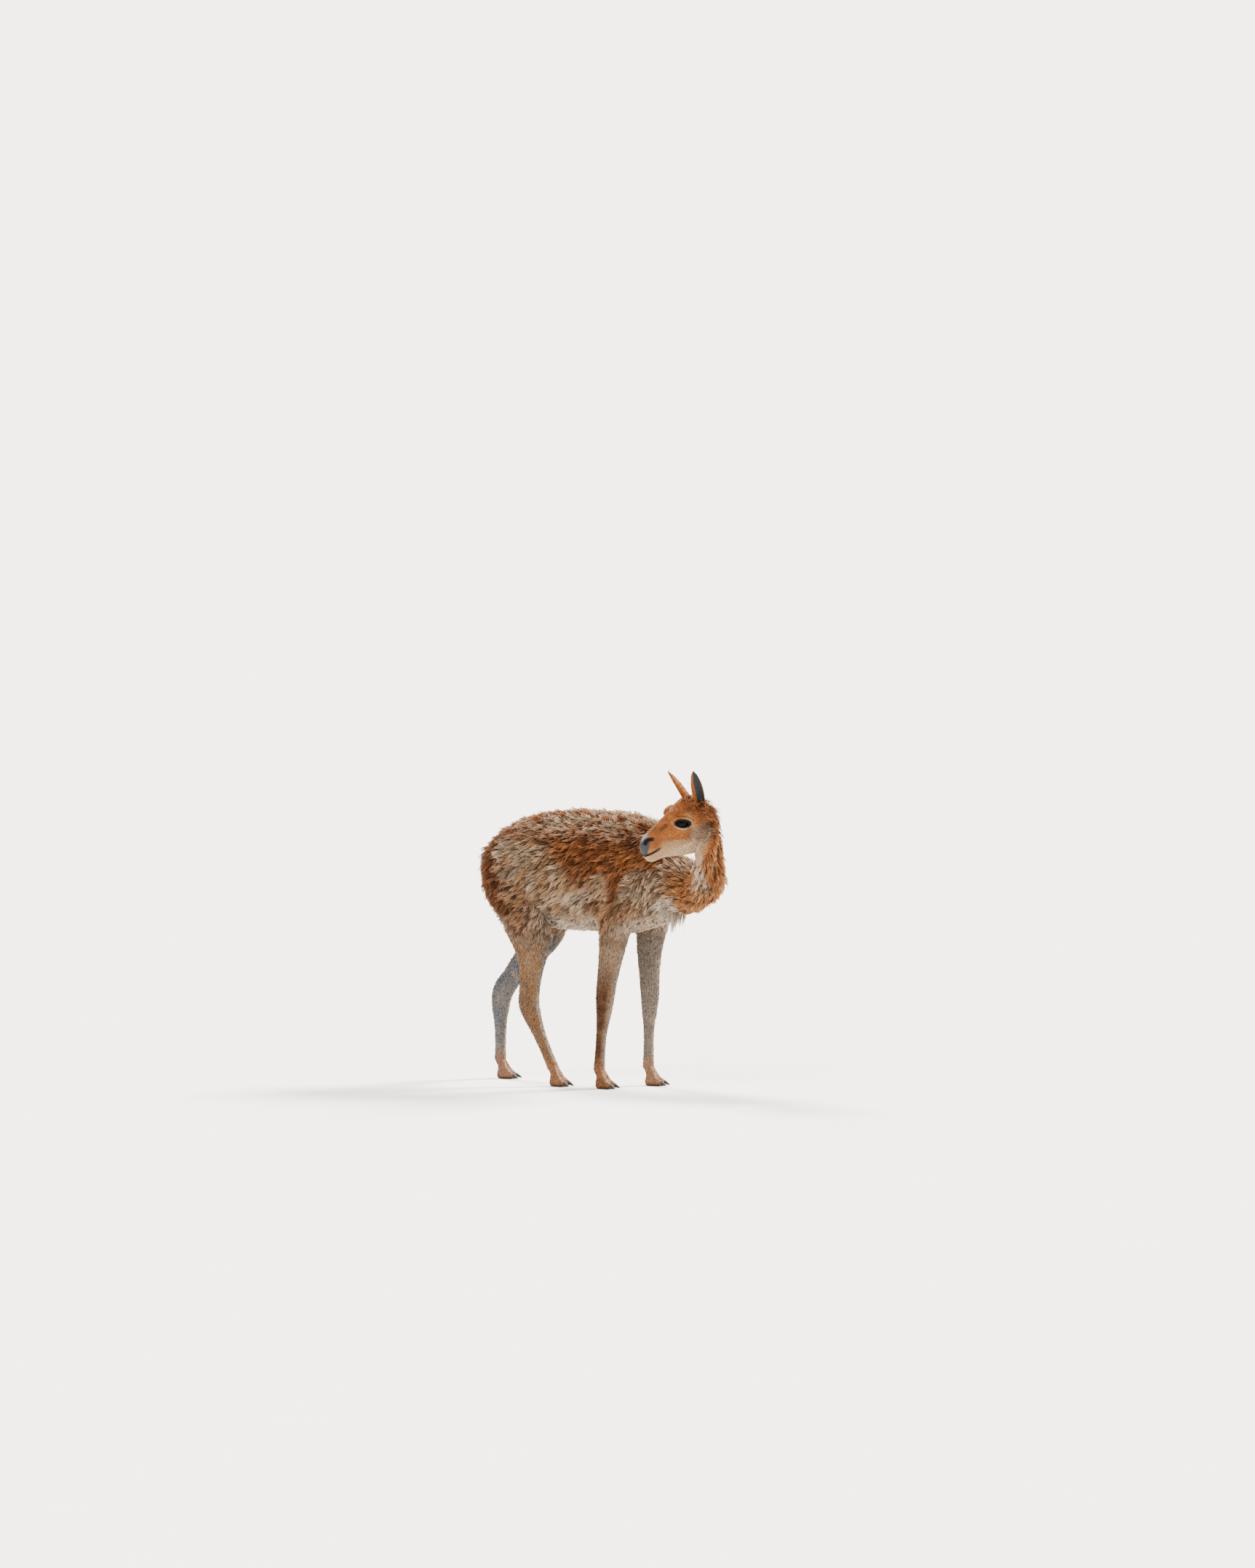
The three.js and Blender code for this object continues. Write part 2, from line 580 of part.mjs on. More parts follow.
const eyeCentre = (side) => [EYE.at[0], side * EYE.at[1], EYE.at[2]];
const onCheek = (x, z, side) => surfacePoint(skullSkin, vec([x, 100 * side, z]), vec([x, 0, z]));

// A lid lies on the rim of the eye's opening, an oval that dips towards the nose
function lid(side, rise, radius) {
  const points = [];
  for (let i = 0; i <= 6; i++) {
    const angle = (Math.PI * i) / 6;
    const rim = vec([EYE.long * Math.cos(angle), 0, rise * EYE.high * Math.sin(angle)]);
    rim.applyAxisAngle(ACROSS, radians(EYE.tilt));
    points.push(onCheek(rim.x + EYE.at[0], rim.z + EYE.at[2], side));
  }
  return rope(points, radius);
}

function eyeOpening(side) {
  const shape = ellipsoid([EYE.long, 22, EYE.high]).rotateY(radians(EYE.tilt));
  const [x, y, z] = eyeCentre(side);
  return solidOf(shape.translate(x, y + side * 26, z));
}

// A lip runs round the front of the muzzle at one height
const LIP_STEPS = 9;
function lip(height, radius) {
  const middle = vec([MOUTH.corner + 12, 0, height]);
  const points = [];
  for (let i = 0; i <= LIP_STEPS; i++) {
    const angle = radians(-105 + (210 * i) / LIP_STEPS);
    const outside = vec([Math.cos(angle), Math.sin(angle), 0]).multiplyScalar(120).add(middle);
    points.push(surfacePoint(skullSkin, outside, middle).lerp(middle, 0.06));
  }
  return rope(points, radius);
}

function mouthSlit() {
  const slab = new THREE.BoxGeometry(90, 90, MOUTH.opening).translate(MOUTH.corner + 45, 0, MOUTH.height);
  return solidOf(slab).subtract(solidOf(headTube(-MOUTH.depth)));
}

function nostril(side) {
  const at = onCheek(NOSTRIL.x, NOSTRIL.z, side);
  const shape = ellipsoid([NOSTRIL.long, NOSTRIL.deep, NOSTRIL.high]).rotateY(radians(NOSTRIL.tilt));
  return solidOf(shape.translate(at.x, at.y, at.z));
}

function nostrilWing(side) {
  const places = [[-13, 5], [-6, 8], [3, 5], [11, -3]];
  const points = places.map(([x, z]) => onCheek(NOSTRIL.x + x, NOSTRIL.z + z, side));
  return rope(points, NOSTRIL.wing);
}

function cleft() {
  const slot = new THREE.BoxGeometry(2 * CLEFT.deep, CLEFT.wide, CLEFT.high);
  return solidOf(slot.translate(CLEFT.x, 0, CLEFT.z));
}

function earSection({ share, wide, deep, arc, thick }) {
  const steps = 6;
  const z = share * EAR_LENGTH;
  const lean = EAR_BEND * share * share;
  const outer = [];
  const inner = [];
  for (let i = 0; i <= steps; i++) {
    const angle = radians(arc * (1 - (2 * i) / steps));
    const c = Math.cos(angle);
    const s = Math.sin(angle);
    outer.push(vec([lean - deep * c, wide * s, z]));
    inner.unshift(vec([lean - (deep - thick) * c, (wide - thick / 2) * s, z]));
  }
  return [...outer, ...inner];
}

function buildEar(side, room) {
  const { at, along, open } = EARS[side];
  const up = vec(along).normalize();
  const cup = vec(open).addScaledVector(up, -vec(open).dot(up)).normalize();
  const across = new THREE.Vector3().crossVectors(up, cup);
  const place = new THREE.Matrix4().makeBasis(cup, across, up).setPosition(vec(at));
  const shape = new LoftGeometry(EAR.map(earSection), { capStart: true, capEnd: true });
  show(`ear_${side}`, solidOf(shape.applyMatrix4(place)).subtract(room), FACE_FUR, headGroup);
}

// The neck in the head's frame, and how far a place there lies past the cut at the nape
const toHead = headGroup.matrix.clone().invert();
const neckInHead = (grow) => neckCore(grow).transform(toHead.toArray());
const napeWay = vec(NAPE_CUT.normal).normalize();
const pastNape = (place) => napeWay.dot(place.clone().sub(vec(NAPE_CUT.at)));

function nearEar(place) {
  return Object.values(EARS).some(({ at, along }) => {
    const root = vec(at);
    const axis = new THREE.Line3(root, root.clone().addScaledVector(vec(along), CROWN.earHeight));
    return axis.closestPointToPoint(place, true, new THREE.Vector3()).distanceTo(place) < CROWN.earClear;
  });
}

const neckLine = neckSpine.getSpacedPoints(24).map((point) => point.applyMatrix4(toHead));
const onNeck = (place) => neckLine.some((point) => point.distanceTo(place) < NECK_CORE_REACH);

// Small clumps stand on the crown and the cheeks' rear, and larger ones where the neck's wool begins
function headKind(place) {
  if (pastNape(place) < CROWN.napeClear) return null;
  if (onNeck(place)) return 'neck';
  return place.x > CROWN.front || nearEar(place) ? null : 'crown';
}

const NECK_DOWN = vec([0, 0.2, -1]).transformDirection(toHead);
const headLie = (place) => (onNeck(place) ? NECK_DOWN.clone() : vec([-1, 0, -0.35]));

// The head's mass with its wool, or the room that it takes
const headMass = (wool, grow) => solidOf(headTube(grow)).add(neckInHead(grow)).add(joined(wool, grow));

function buildHead(wool) {
  let head = beyond(headMass(wool, 0), NAPE_CUT);
  head = head.add(lip(MOUTH.height + 4, MOUTH.lip)).add(lip(MOUTH.height - 4, MOUTH.lip * 0.9));
  head = head.subtract(mouthSlit()).subtract(cleft());
  for (const side of Object.values(SIDES)) {
    head = head.add(nostrilWing(side)).subtract(nostril(side)).subtract(eyeOpening(side));
    head = head.add(lid(side, 1, EYE.upper)).add(lid(side, -1, EYE.lower));
    const socket = new THREE.SphereGeometry(EYE_RADIUS + GAP, 12, 9).translate(...eyeCentre(side));
    head = head.subtract(solidOf(socket));
  }
  show('head', head, FACE_FUR, headGroup);
}

function buildEye(name, side) {
  const eye = new THREE.Mesh(new THREE.SphereGeometry(EYE_RADIUS, 12, 9), EYE_GLOSS);
  eye.name = `eye_${name}`;
  eye.position.set(...eyeCentre(side));
  headGroup.add(eye);
}

// The body's clumps stop where the head starts
function trunkKind(at, out) {
  const behindHead = at.x < NECK_FRONT || pastNape(at.clone().applyMatrix4(toHead)) < -CROWN.napeClear;
  return behindHead ? bodyKind(at, out) : null;
}

// A solid's clumps, each with the area that its kind takes
function woolOn(solid, kindAt, lieAt) {
  const area = solid.surfaceArea() / PLACES;
  return [...placesOn(solid, kindAt)].flatMap(([kind, places]) => {
    const count = Math.round((places.length * area) / CLUMPS[kind].apart ** 2);
    return spread(places, count).map((spot) => clump(spot, lieAt));
  });
}

const bodyCore = buildCore();
const bodyWool = woolOn(bodyCore, trunkKind, bodyLie);
const tailWool = woolOn(tailCore(0), tailKind, () => DOWN.clone());
const headWool = woolOn(headMass([], 0), headKind, headLie);
const headRoom = headMass(headWool, GAP);
const headPlace = headRoom.trimByPlane(napeWay.toArray(), napeWay.dot(vec(NAPE_CUT.at)) - GAP / 2);
const tailMass = (grow) => tailCore(grow).add(joined(tailWool, grow));

const rooms = [headPlace.transform(headGroup.matrix.toArray()), tailMass(GAP)];
partTrunkAndNeck(partThighs(buildBody(bodyCore, bodyWool, rooms)));
show('tail', tailMass(0), FLEECE);
LEGS.forEach(buildLowerLeg);
buildHead(headWool);
for (const [name, side] of Object.entries(SIDES)) {
  buildEar(name, headRoom);
  buildEye(name, side);
}

export default vicuna;
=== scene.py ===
"""A life-size vicuna in full fleece, standing and looking back over its right shoulder.

The skin is one closed surface. Wool and hair grow on it as solid tufts that follow the lie of the coat.
Shapes are worked out in millimetres in the animal's own frame: +X is the way the body faces, +Y is its left
and +Z is up. They are moved to the model's frame, in metres, when a mesh is made.
"""

import math
from types import SimpleNamespace as Record

import bmesh
import bpy
import numpy as np
from mathutils import Matrix, Vector
from mathutils.bvhtree import BVHTree
from mathutils.kdtree import KDTree


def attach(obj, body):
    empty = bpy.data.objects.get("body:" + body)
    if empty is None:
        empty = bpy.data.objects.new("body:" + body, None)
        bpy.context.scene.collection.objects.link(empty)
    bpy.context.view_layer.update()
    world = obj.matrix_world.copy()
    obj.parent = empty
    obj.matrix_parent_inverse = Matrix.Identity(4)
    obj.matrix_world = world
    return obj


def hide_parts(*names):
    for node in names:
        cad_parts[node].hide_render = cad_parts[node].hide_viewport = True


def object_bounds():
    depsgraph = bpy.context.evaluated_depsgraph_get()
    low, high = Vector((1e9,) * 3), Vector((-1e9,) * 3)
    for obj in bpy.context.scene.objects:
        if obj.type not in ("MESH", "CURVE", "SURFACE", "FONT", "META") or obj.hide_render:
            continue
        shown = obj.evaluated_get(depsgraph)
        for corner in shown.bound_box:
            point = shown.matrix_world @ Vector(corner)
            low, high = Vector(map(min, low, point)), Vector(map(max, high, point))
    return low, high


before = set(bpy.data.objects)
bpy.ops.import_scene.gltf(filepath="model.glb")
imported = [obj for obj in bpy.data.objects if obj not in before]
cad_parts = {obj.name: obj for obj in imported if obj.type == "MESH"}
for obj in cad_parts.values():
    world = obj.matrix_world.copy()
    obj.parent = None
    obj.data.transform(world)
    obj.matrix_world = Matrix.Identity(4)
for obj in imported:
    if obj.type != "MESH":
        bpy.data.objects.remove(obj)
solid_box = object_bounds()
random = np.random.default_rng(7)

MM = 0.001
SIDES = {"left": 1, "right": -1}
MIDDLE = np.array([-91.5, 72.2, 0.0])  # from the animal's own frame to the model's
COAT = 12.0  # how deep the skin lies under the outline of the wool
TORSO_CORE = 0.965  # length of the torso's skin, as a share of its wool's
WAIST = 0.47  # height of the torso's widest line, as a share of its depth
TO_BOX = 0.0002  # how far inside the solids' box everything ends
BOX_LOW, BOX_HIGH = np.array(solid_box[0]) + TO_BOX, np.array(solid_box[1]) - TO_BOX

# The torso: x, top, bottom, half width
TORSO = [
    (-358, 740, 640, 46), (-343, 794, 588, 84), (-308, 832, 558, 112), (-250, 864, 534, 131),
    (-165, 891, 519, 144), (-70, 905, 513, 150), (20, 909, 511, 152), (110, 907, 508, 148),
    (198, 901, 510, 138), (268, 880, 527, 122), (322, 836, 552, 100), (358, 776, 583, 74), (375, 715, 612, 42),
]
# The neck and the tail: centre, the way the upper side faces, half width, half depth
NECK = [
    ((240, 0, 700), (0, 0, 1), 92, 118), ((345, -2, 672), (0.1, 0.1, 1), 76, 100),
    ((428, -22, 660), (0.1, 0.3, 0.95), 58, 86), ((496, -64, 686), (0, 0.9, 0.45), 60, 60),
    ((526, -107, 762), (0.4, 0.9, 0.1), 51, 55), ((529, -136, 850), (0.6, 0.8, 0), 50, 57),
    ((524, -148, 908), (0.7, 0.7, 0), 49, 57), ((516, -158, 948), (0.7, 0.7, 0), 32, 34),
]
TAIL = [
    ((-318, 0, 770), (-0.3, 0, 1), 22, 16), ((-352, 0, 748), (-0.9, 0, 0.5), 25, 19),
    ((-361, 0, 690), (-1, 0, 0), 32, 23), ((-346, 0, 630), (-1, 0, 0.1), 31, 22),
    ((-322, 0, 578), (-1, 0, 0.2), 27, 20), ((-306, 0, 545), (-1, 0, 0.2), 15, 12),
]
TAIL_WOOL = 7.0  # depth of the tail's wool

# The legs' thickness at their levels: in front of, behind and beside the middle line
HIND_BULK = [
    (88, 80, 46), (98, 92, 54), (96, 94, 60), (84, 86, 56), (71, 74, 47), (56, 58, 38), (41, 42, 30),
    (34, 37, 25), (33, 39, 25), (29, 33, 23), (20, 22, 18), (17, 18, 16.5), (18, 19, 18),
]
FORE_BULK = [
    (50, 60, 32), (70, 80, 50), (78, 84, 54), (64, 68, 48), (50, 50, 38), (41, 42, 30), (34, 35, 26),
    (32, 31, 25), (25, 25, 21), (17, 18, 16.5), (16, 17, 16), (18, 19, 18),
]
WOOL_FOOT = {"hind": 497.0, "fore": 528.0}  # height where the bare leg starts
WOOL_FADE = 90.0  # how far above that the wool is full
LEGS = {
    "hind_right": ([
        (-255, -70, 770), (-236, -82, 700), (-212, -90, 632), (-180, -94, 562), (-156, -94, 500),
        (-148, -91, 438), (-153, -88, 376), (-158, -86, 316), (-160, -85, 268), (-149, -85, 230),
        (-124, -85, 172), (-96, -85, 112), (-71, -85, 60)], -4),
    "hind_left": ([
        (-255, 70, 770), (-246, 82, 700), (-232, 90, 632), (-210, 94, 562), (-208, 94, 500), (-236, 91, 446),
        (-278, 89, 396), (-322, 88, 340), (-358, 87, 290), (-369, 87, 240), (-371, 87, 180), (-371, 87, 118),
        (-372, 87, 60)], 5),
    "fore_right": ([
        (200, -60, 800), (232, -76, 720), (222, -86, 640), (186, -90, 570), (164, -91, 508), (150, -90, 432),
        (137, -90, 362), (128, -90, 300), (123, -90, 244), (116, -90, 184), (110, -90, 120), (106, -90, 60)], -3),
    "fore_left": ([
        (200, 60, 800), (236, 76, 720), (230, 86, 640), (208, 90, 570), (198, 91, 508), (192, 90, 432),
        (192, 90, 362), (193, 90, 302), (192, 90, 244), (190, 90, 184), (189, 90, 120), (188, 90, 60)], 4),
}
# A toe and its nail: x, across, z, the way the upper side faces, over, under, half width
TOE = [
    (0, 6, 62, (1, 0, 0.2), 14, 15, 11), (10, 8, 45, (0.85, 0, 0.5), 14, 16, 11.5),
    (22, 11, 28, (0.5, 0, 0.9), 12, 38, 12), (36, 13, 18, (0.25, 0, 1), 9.5, 26, 12),
    (48, 14, 12, (0.2, 0, 1), 8, 17, 10), (54, 14, 9, (0.2, 0, 1), 6, 7, 7),
]
NAIL = [
    (42, 14, 15, (0.3, 0, 1), 7, 7, 7), (54, 14.5, 11, (0.35, 0, 1), 6, 6, 6),
    (63, 15, 7, (0.45, 0, 1), 4, 4, 4.2), (70, 15, 3.4, (0.5, 0, 1), 1.4, 1.4, 1.6),
]

# The head in its own frame: +X to the nose, the origin midway between the eyes
HEAD_AT = Vector((469, -212, 902))
HEAD_YAW, HEAD_PITCH, HEAD_ROLL = -136, 30, -10
# x, top, bottom, half width, how much the upper and the lower side narrow
HEAD = [
    (-114, -20, -66, 22, 0, 0), (-106, -4, -84, 31, 0.1, 0.1), (-90, 22, -102, 41, 0.12, 0.2),
    (-62, 50, -120, 51, 0.2, 0.34), (-28, 52, -130, 57, 0.28, 0.46), (5, 42, -128, 57, 0.3, 0.52),
    (30, 34, -119, 48, 0.3, 0.5), (56, 28, -107, 38, 0.28, 0.42), (80, 22, -96, 31, 0.22, 0.36),
    (102, 16, -87, 28.5, 0.16, 0.34), (122, 9, -84, 27, 0.12, 0.34), (138, 1, -81, 23, 0.1, 0.3),
    (149, -9, -72, 17, 0.1, 0.3), (155, -24, -58, 10, 0, 0),
]
CHEEK = 0.6  # height of the head's widest line, as a share of its depth
EYE_AT = (-2.0, 33.0, -6.5)
EYE_RADIUS = 23.0
EYE_OPENING = (-1.0, -3.0)  # the middle of the opening between the lids
EYE_LONG, EYE_HIGH, EYE_TILT = 23.0, 13.0, -28
MOUTH_CORNER, MOUTH_HEIGHT = 100.0, -45.0
NAPE_AT, NAPE_NORMAL = np.array([-92.0, 0, -90]), np.array([0.62, 0, 0.78])

# An ear: share of its length, width, depth, half the angle that the rim wraps, thickness
EAR_LENGTH, EAR_BEND, EAR_WIDTH = 154.0, 12.0, 0.93
EAR = [
    (-0.1, 13, 13, 150, 4), (0.03, 15, 15, 140, 4), (0.2, 18, 15, 115, 3.6), (0.42, 21, 13, 98, 3),
    (0.64, 19, 11, 90, 2.8), (0.84, 13, 8, 86, 2.4), (0.95, 6, 4.5, 84, 2), (1, 2, 2, 80, 1),
]
EARS = {
    "left": ((-82, 37, 0), (-0.163, 0.233, 0.959), (0.16, 0.9, 0)),
    "right": ((-70, -37, -20), (0, -0.2, 0.97), (0.75, -0.62, 0)),
}

# Colours of the coat, in linear light
CINNAMON = (0.33, 0.12, 0.034)
RUST = (0.21, 0.065, 0.014)
FAWN = (0.38, 0.21, 0.10)
GREY_TAN = (0.25, 0.175, 0.12)
CREAM = (0.46, 0.34, 0.235)
WHITE = (0.68, 0.58, 0.48)
LEG_GREY = (0.27, 0.21, 0.17)
# a bluish grey painted as shade on the inner side of the legs
INNER_SHADE_GREY = (0.17, 0.20, 0.24)
DARK_BROWN = (0.10, 0.042, 0.015)
NOSE_GREY = (0.034, 0.042, 0.052)
NEAR_BLACK = (0.008, 0.007, 0.007)
ORANGE = (0.62, 0.24, 0.03)
ORANGE_TUFTS = ((-62, 0, 905), (18, -20, 905))  # two small tufts on the back


# Working with rows of points

def unit(vectors):
    """The vectors at length 1."""
    return vectors / np.maximum(np.linalg.norm(vectors, axis=-1, keepdims=True), 1e-9)


def fade(low, high, value):
    """0 at low, 1 at high and smooth between them. low may be above high."""
    share = np.clip((value - low) / (high - low), 0, 1)
    return share * share * (3 - 2 * share)


def mixed(a, b, share):
    """Colours or vectors a and b mixed, point by point."""
    share = np.asarray(share, float)[..., None]
    return np.asarray(a) * (1 - share) + np.asarray(b) * share


def layered(colour, *layers):
    """The colour with others laid over it in turn, each with its share."""
    for over, share in layers:
        colour = mixed(colour, over, share)
    return colour


def turned(x, z, degrees):
    """Distances along and up, after a tilt nose up or down."""
    c, s = math.cos(math.radians(degrees)), math.sin(math.radians(degrees))
    return x * c + z * s, z * c - x * s


def way_from(azimuth, elevation):
    """The way from the animal to a light or camera. Azimuth 0 is on the animal's right."""
    a, e = math.radians(azimuth), math.radians(elevation)
    return Vector((math.sin(a) * math.cos(e), -math.cos(a) * math.cos(e), math.sin(e)))


def cells(points, size):
    """A number for the box of this size that each place lies in."""
    return np.floor(points / size).astype(np.int64) @ np.array([1, 10_007, 100_280_049])


def ripple(points, size, seed):
    """Soft random patches of about this size, between -1 and 1."""
    draw = np.random.default_rng(seed)
    ways = unit(draw.normal(size=(9, 3)))
    steps = 2 * math.pi / (size * draw.uniform(1.2, 3, 9))
    phases = draw.uniform(0, 2 * math.pi, 9)
    return np.sin(points @ ways.T * steps + phases).sum(1) / 3.6


def smooth(rows, count):
    """A smooth run through the rows of a table."""
    rows = np.array(rows, float)
    padded = np.vstack([2 * rows[0] - rows[1], rows, 2 * rows[-1] - rows[-2]])
    places = np.linspace(0, len(rows) - 1, count)
    i = np.minimum(places.astype(int), len(rows) - 2)
    w = (places - i)[:, None]
    a, b, c, d = (padded[i + k] for k in range(4))
    return b + 0.5 * w * (c - a + w * (2 * a - 5 * b + 4 * c - d + w * (3 * (b - c) + d - a)))


def tube(rows, rings, sides, facing=None):
    """Rings of points round a bent middle line. A row holds a centre, the way its upper side faces, its
    reach over and under the centre, its half width, and how much its upper and lower side narrow."""
    run = smooth([(*at, *up, *rest, *(0,) * (5 - len(rest))) for at, up, *rest in rows], rings)
    at, up = run[:, :3], run[:, 3:6]
    along = unit(np.gradient(at, axis=0)) if facing is None else np.tile(np.array(facing, float), (rings, 1))
    up = unit(up - (up * along).sum(1, keepdims=True) * along)
    side = np.cross(up, along)
    angle = 2 * math.pi * (np.arange(sides) + 0.5) / sides
    c, s = np.cos(angle), np.sin(angle)
    over, under, half, crown, jaw = (run[:, k, None] for k in range(6, 11))
    width = half * c * (1 - np.where(s > 0, crown, jaw) * s * s)
    height = s * np.where(s > 0, over, under)
    return at[:, None] + side[:, None] * width[..., None] + up[:, None] * height[..., None]


# Meshes

def rows_of(items, key, kind):
    """Three numbers of each item of a mesh."""
    values = np.empty(len(items) * 3, kind)
    items.foreach_get(key, values)
    return values.reshape(-1, 3)


def link(name, mesh):
    piece = bpy.data.objects.new(name, mesh)
    bpy.context.scene.collection.objects.link(piece)
    return piece


def solid(shapes, name="solid"):
    """One mesh object of closed shapes, each a grid of rings whose two ends are capped."""
    shell = bmesh.new()
    for rings in shapes:
        count, sides = rings.shape[:2]
        verts = [[shell.verts.new(point) for point in ring] for ring in (rings + MIDDLE) * MM]
        for i in range(count - 1):
            for j in range(sides):
                k = (j + 1) % sides
                shell.faces.new((verts[i][j], verts[i][k], verts[i + 1][k], verts[i + 1][j]))
        shell.faces.new(verts[0])
        shell.faces.new(verts[-1])
    bmesh.ops.recalc_face_normals(shell, faces=shell.faces)
    mesh = bpy.data.meshes.new(name)
    shell.to_mesh(mesh)
    shell.free()
    return link(name, mesh)


def applied(piece):
    """Makes the piece's modifiers part of its mesh."""
    shaped = piece.evaluated_get(bpy.context.evaluated_depsgraph_get())
    mesh = bpy.data.meshes.new_from_object(shaped)
    piece.modifiers.clear()
    piece.data = mesh


def fused(piece, voxel, rounds):
    """Turns overlapping shapes into one surface, and softens it."""
    remesh = piece.modifiers.new("fuse", "REMESH")
    remesh.mode = "VOXEL"
    remesh.voxel_size = voxel * MM
    soften = piece.modifiers.new("soften", "SMOOTH")
    soften.factor = 0.5
    soften.iterations = rounds
    applied(piece)
    return piece


def combined(piece, other, operation):
    """Joins the piece with, or cuts it by, another one, which is used up."""
    step = piece.modifiers.new("combine", "BOOLEAN")
    step.operation = operation
    step.solver = "MANIFOLD"
    step.object = other
    applied(piece)
    bpy.data.objects.remove(other)


# The body

def torso_shape():
    rows = []
    for x, top, bottom, half in TORSO:
        waist = bottom + (top - bottom) * WAIST
        centre = (x * TORSO_CORE, 0, waist)
        rows.append((centre, (0, 0, 1), top - waist - COAT, waist - bottom, half - COAT, 0.12, 0.1))
    return tube(rows, rings=80, sides=64, facing=(1, 0, 0))


def even_tube(table, coats, rings, sides):
    """A tube as deep over its middle line as under it, less the coat's depth."""
    rows = [(at, up, deep - c, deep - c, half - c) for (at, up, half, deep), c in zip(table, coats)]
    return tube(rows, rings, sides)


def neck_shape():
    return even_tube(NECK, [COAT] * len(NECK), rings=70, sides=48)


def tail_shape():
    return even_tube(TAIL, [0, 0] + [TAIL_WOOL] * (len(TAIL) - 2), rings=40, sides=24)


def leg_shape(name):
    path, _ = LEGS[name]
    kind = name.split("_")[0]
    rows = []
    for at, (fore, aft, half) in zip(path, HIND_BULK if kind == "hind" else FORE_BULK):
        depth = COAT * fade(WOOL_FOOT[kind], WOOL_FOOT[kind] + WOOL_FADE, at[2])
        rows.append((at, (1, 0, 0), fore - depth, aft - depth, half - depth))
    return tube(rows, rings=90, sides=40)


def on_foot(name, rings):
    """Moves a toe's or nail's rings to their foot."""
    path, turn = LEGS[name]
    c, s = math.cos(math.radians(turn)), math.sin(math.radians(turn))
    x, y, z = rings[..., 0], rings[..., 1], rings[..., 2]
    return np.stack([path[-1][0] + x * c - y * s, path[-1][1] + x * s + y * c, z], -1)


def toe_shape(name, table, across, rings, sides):
    rows = [((x, across * out, z), up, over, under, half) for x, out, z, up, over, under, half in table]
    return on_foot(name, tube(rows, rings, sides))


# The head

HEAD_TURN = (
    Matrix.Rotation(math.radians(HEAD_YAW), 4, "Z")
    @ Matrix.Rotation(math.radians(HEAD_PITCH), 4, "Y")
    @ Matrix.Rotation(math.radians(HEAD_ROLL), 4, "X")
)
HEAD_BASIS = np.array(HEAD_TURN.to_3x3())


def from_head(points):
    """Points in the head's frame, in the body's."""
    return points @ HEAD_BASIS.T + np.array(HEAD_AT)


def in_head(points):
    """Points of the body's frame, in the head's."""
    return (points - np.array(HEAD_AT)) @ HEAD_BASIS


def skull_rings():
    rows = []
    for x, top, bottom, half, crown, jaw in HEAD:
        waist = bottom + (top - bottom) * CHEEK
        rows.append(((x, 0, waist), (0, 0, 1), top - waist, waist - bottom, half, crown, jaw))
    return tube(rows, rings=110, sides=88, facing=(1, 0, 0))


def surface_of(rings):
    """Finds points on a shape's surface."""
    count, sides = rings.shape[:2]
    grid = np.arange(count * sides).reshape(count, sides)
    faces = [
        (grid[i, j], grid[i, (j + 1) % sides], grid[i + 1, (j + 1) % sides], grid[i + 1, j])
        for i in range(count - 1) for j in range(sides)
    ] + [grid[0], grid[-1]]
    return BVHTree.FromPolygons([Vector(p) for p in rings.reshape(-1, 3)], faces)


skull_surface = surface_of(skull_rings())


def on_cheek(x, z, side):
    """The place on the side of the head at this distance and height."""
    hit = skull_surface.ray_cast(Vector((x, 120 * side, z)), Vector((0, -side, 0)))[0]
    return np.array(hit)


def rope_shape(points, radius):
    """A round ridge through points, thinner at its ends."""
    rows = []
    for i, point in enumerate(points):
        r = radius * (0.6 if i in (0, len(points) - 1) else 1)
        rows.append((tuple(point), (0.02, 0.03, 1), r, r, r))
    return tube(rows, rings=4 * len(points), sides=12)


def ball(centre, size, turn=0.0, rings=24, sides=32):
    """An ellipsoid, tilted nose up or down by turn."""
    angle = np.linspace(0.03, math.pi - 0.03, rings)[:, None]
    round_ = 2 * math.pi * np.arange(sides) / sides
    points = np.stack([
        np.cos(angle) * np.ones(sides), np.sin(angle) * np.cos(round_), np.sin(angle) * np.sin(round_),
    ], -1) * np.array(size)
    x, z = turned(points[..., 0], points[..., 2], turn)
    return np.stack([x, points[..., 1], z], -1) + np.array(centre)


def lid_points(side, rise, spread=1.0):
    """The rim of the eye's opening, which dips towards the nose."""
    c, s = math.cos(math.radians(EYE_TILT)), math.sin(math.radians(EYE_TILT))
    points = []
    for angle in np.linspace(0, math.pi, 11):
        x = EYE_LONG * spread * math.cos(angle)
        z = rise * EYE_HIGH * spread * math.sin(angle)
        points.append(on_cheek(EYE_OPENING[0] + x * c + z * s, EYE_OPENING[1] + z * c - x * s, side))
    return points


def lip_points(height, reach=0.94):
    """Round the front of the muzzle at one height."""
    middle = Vector((MOUTH_CORNER + 12, 0, height))
    points = []
    for angle in np.radians(np.linspace(-105, 105, 19)):
        way = Vector((math.cos(angle), math.sin(angle), 0))
        hit = skull_surface.ray_cast(middle + way * 120, -way)[0]
        points.append(np.array(middle + (hit - middle) * reach))
    return points


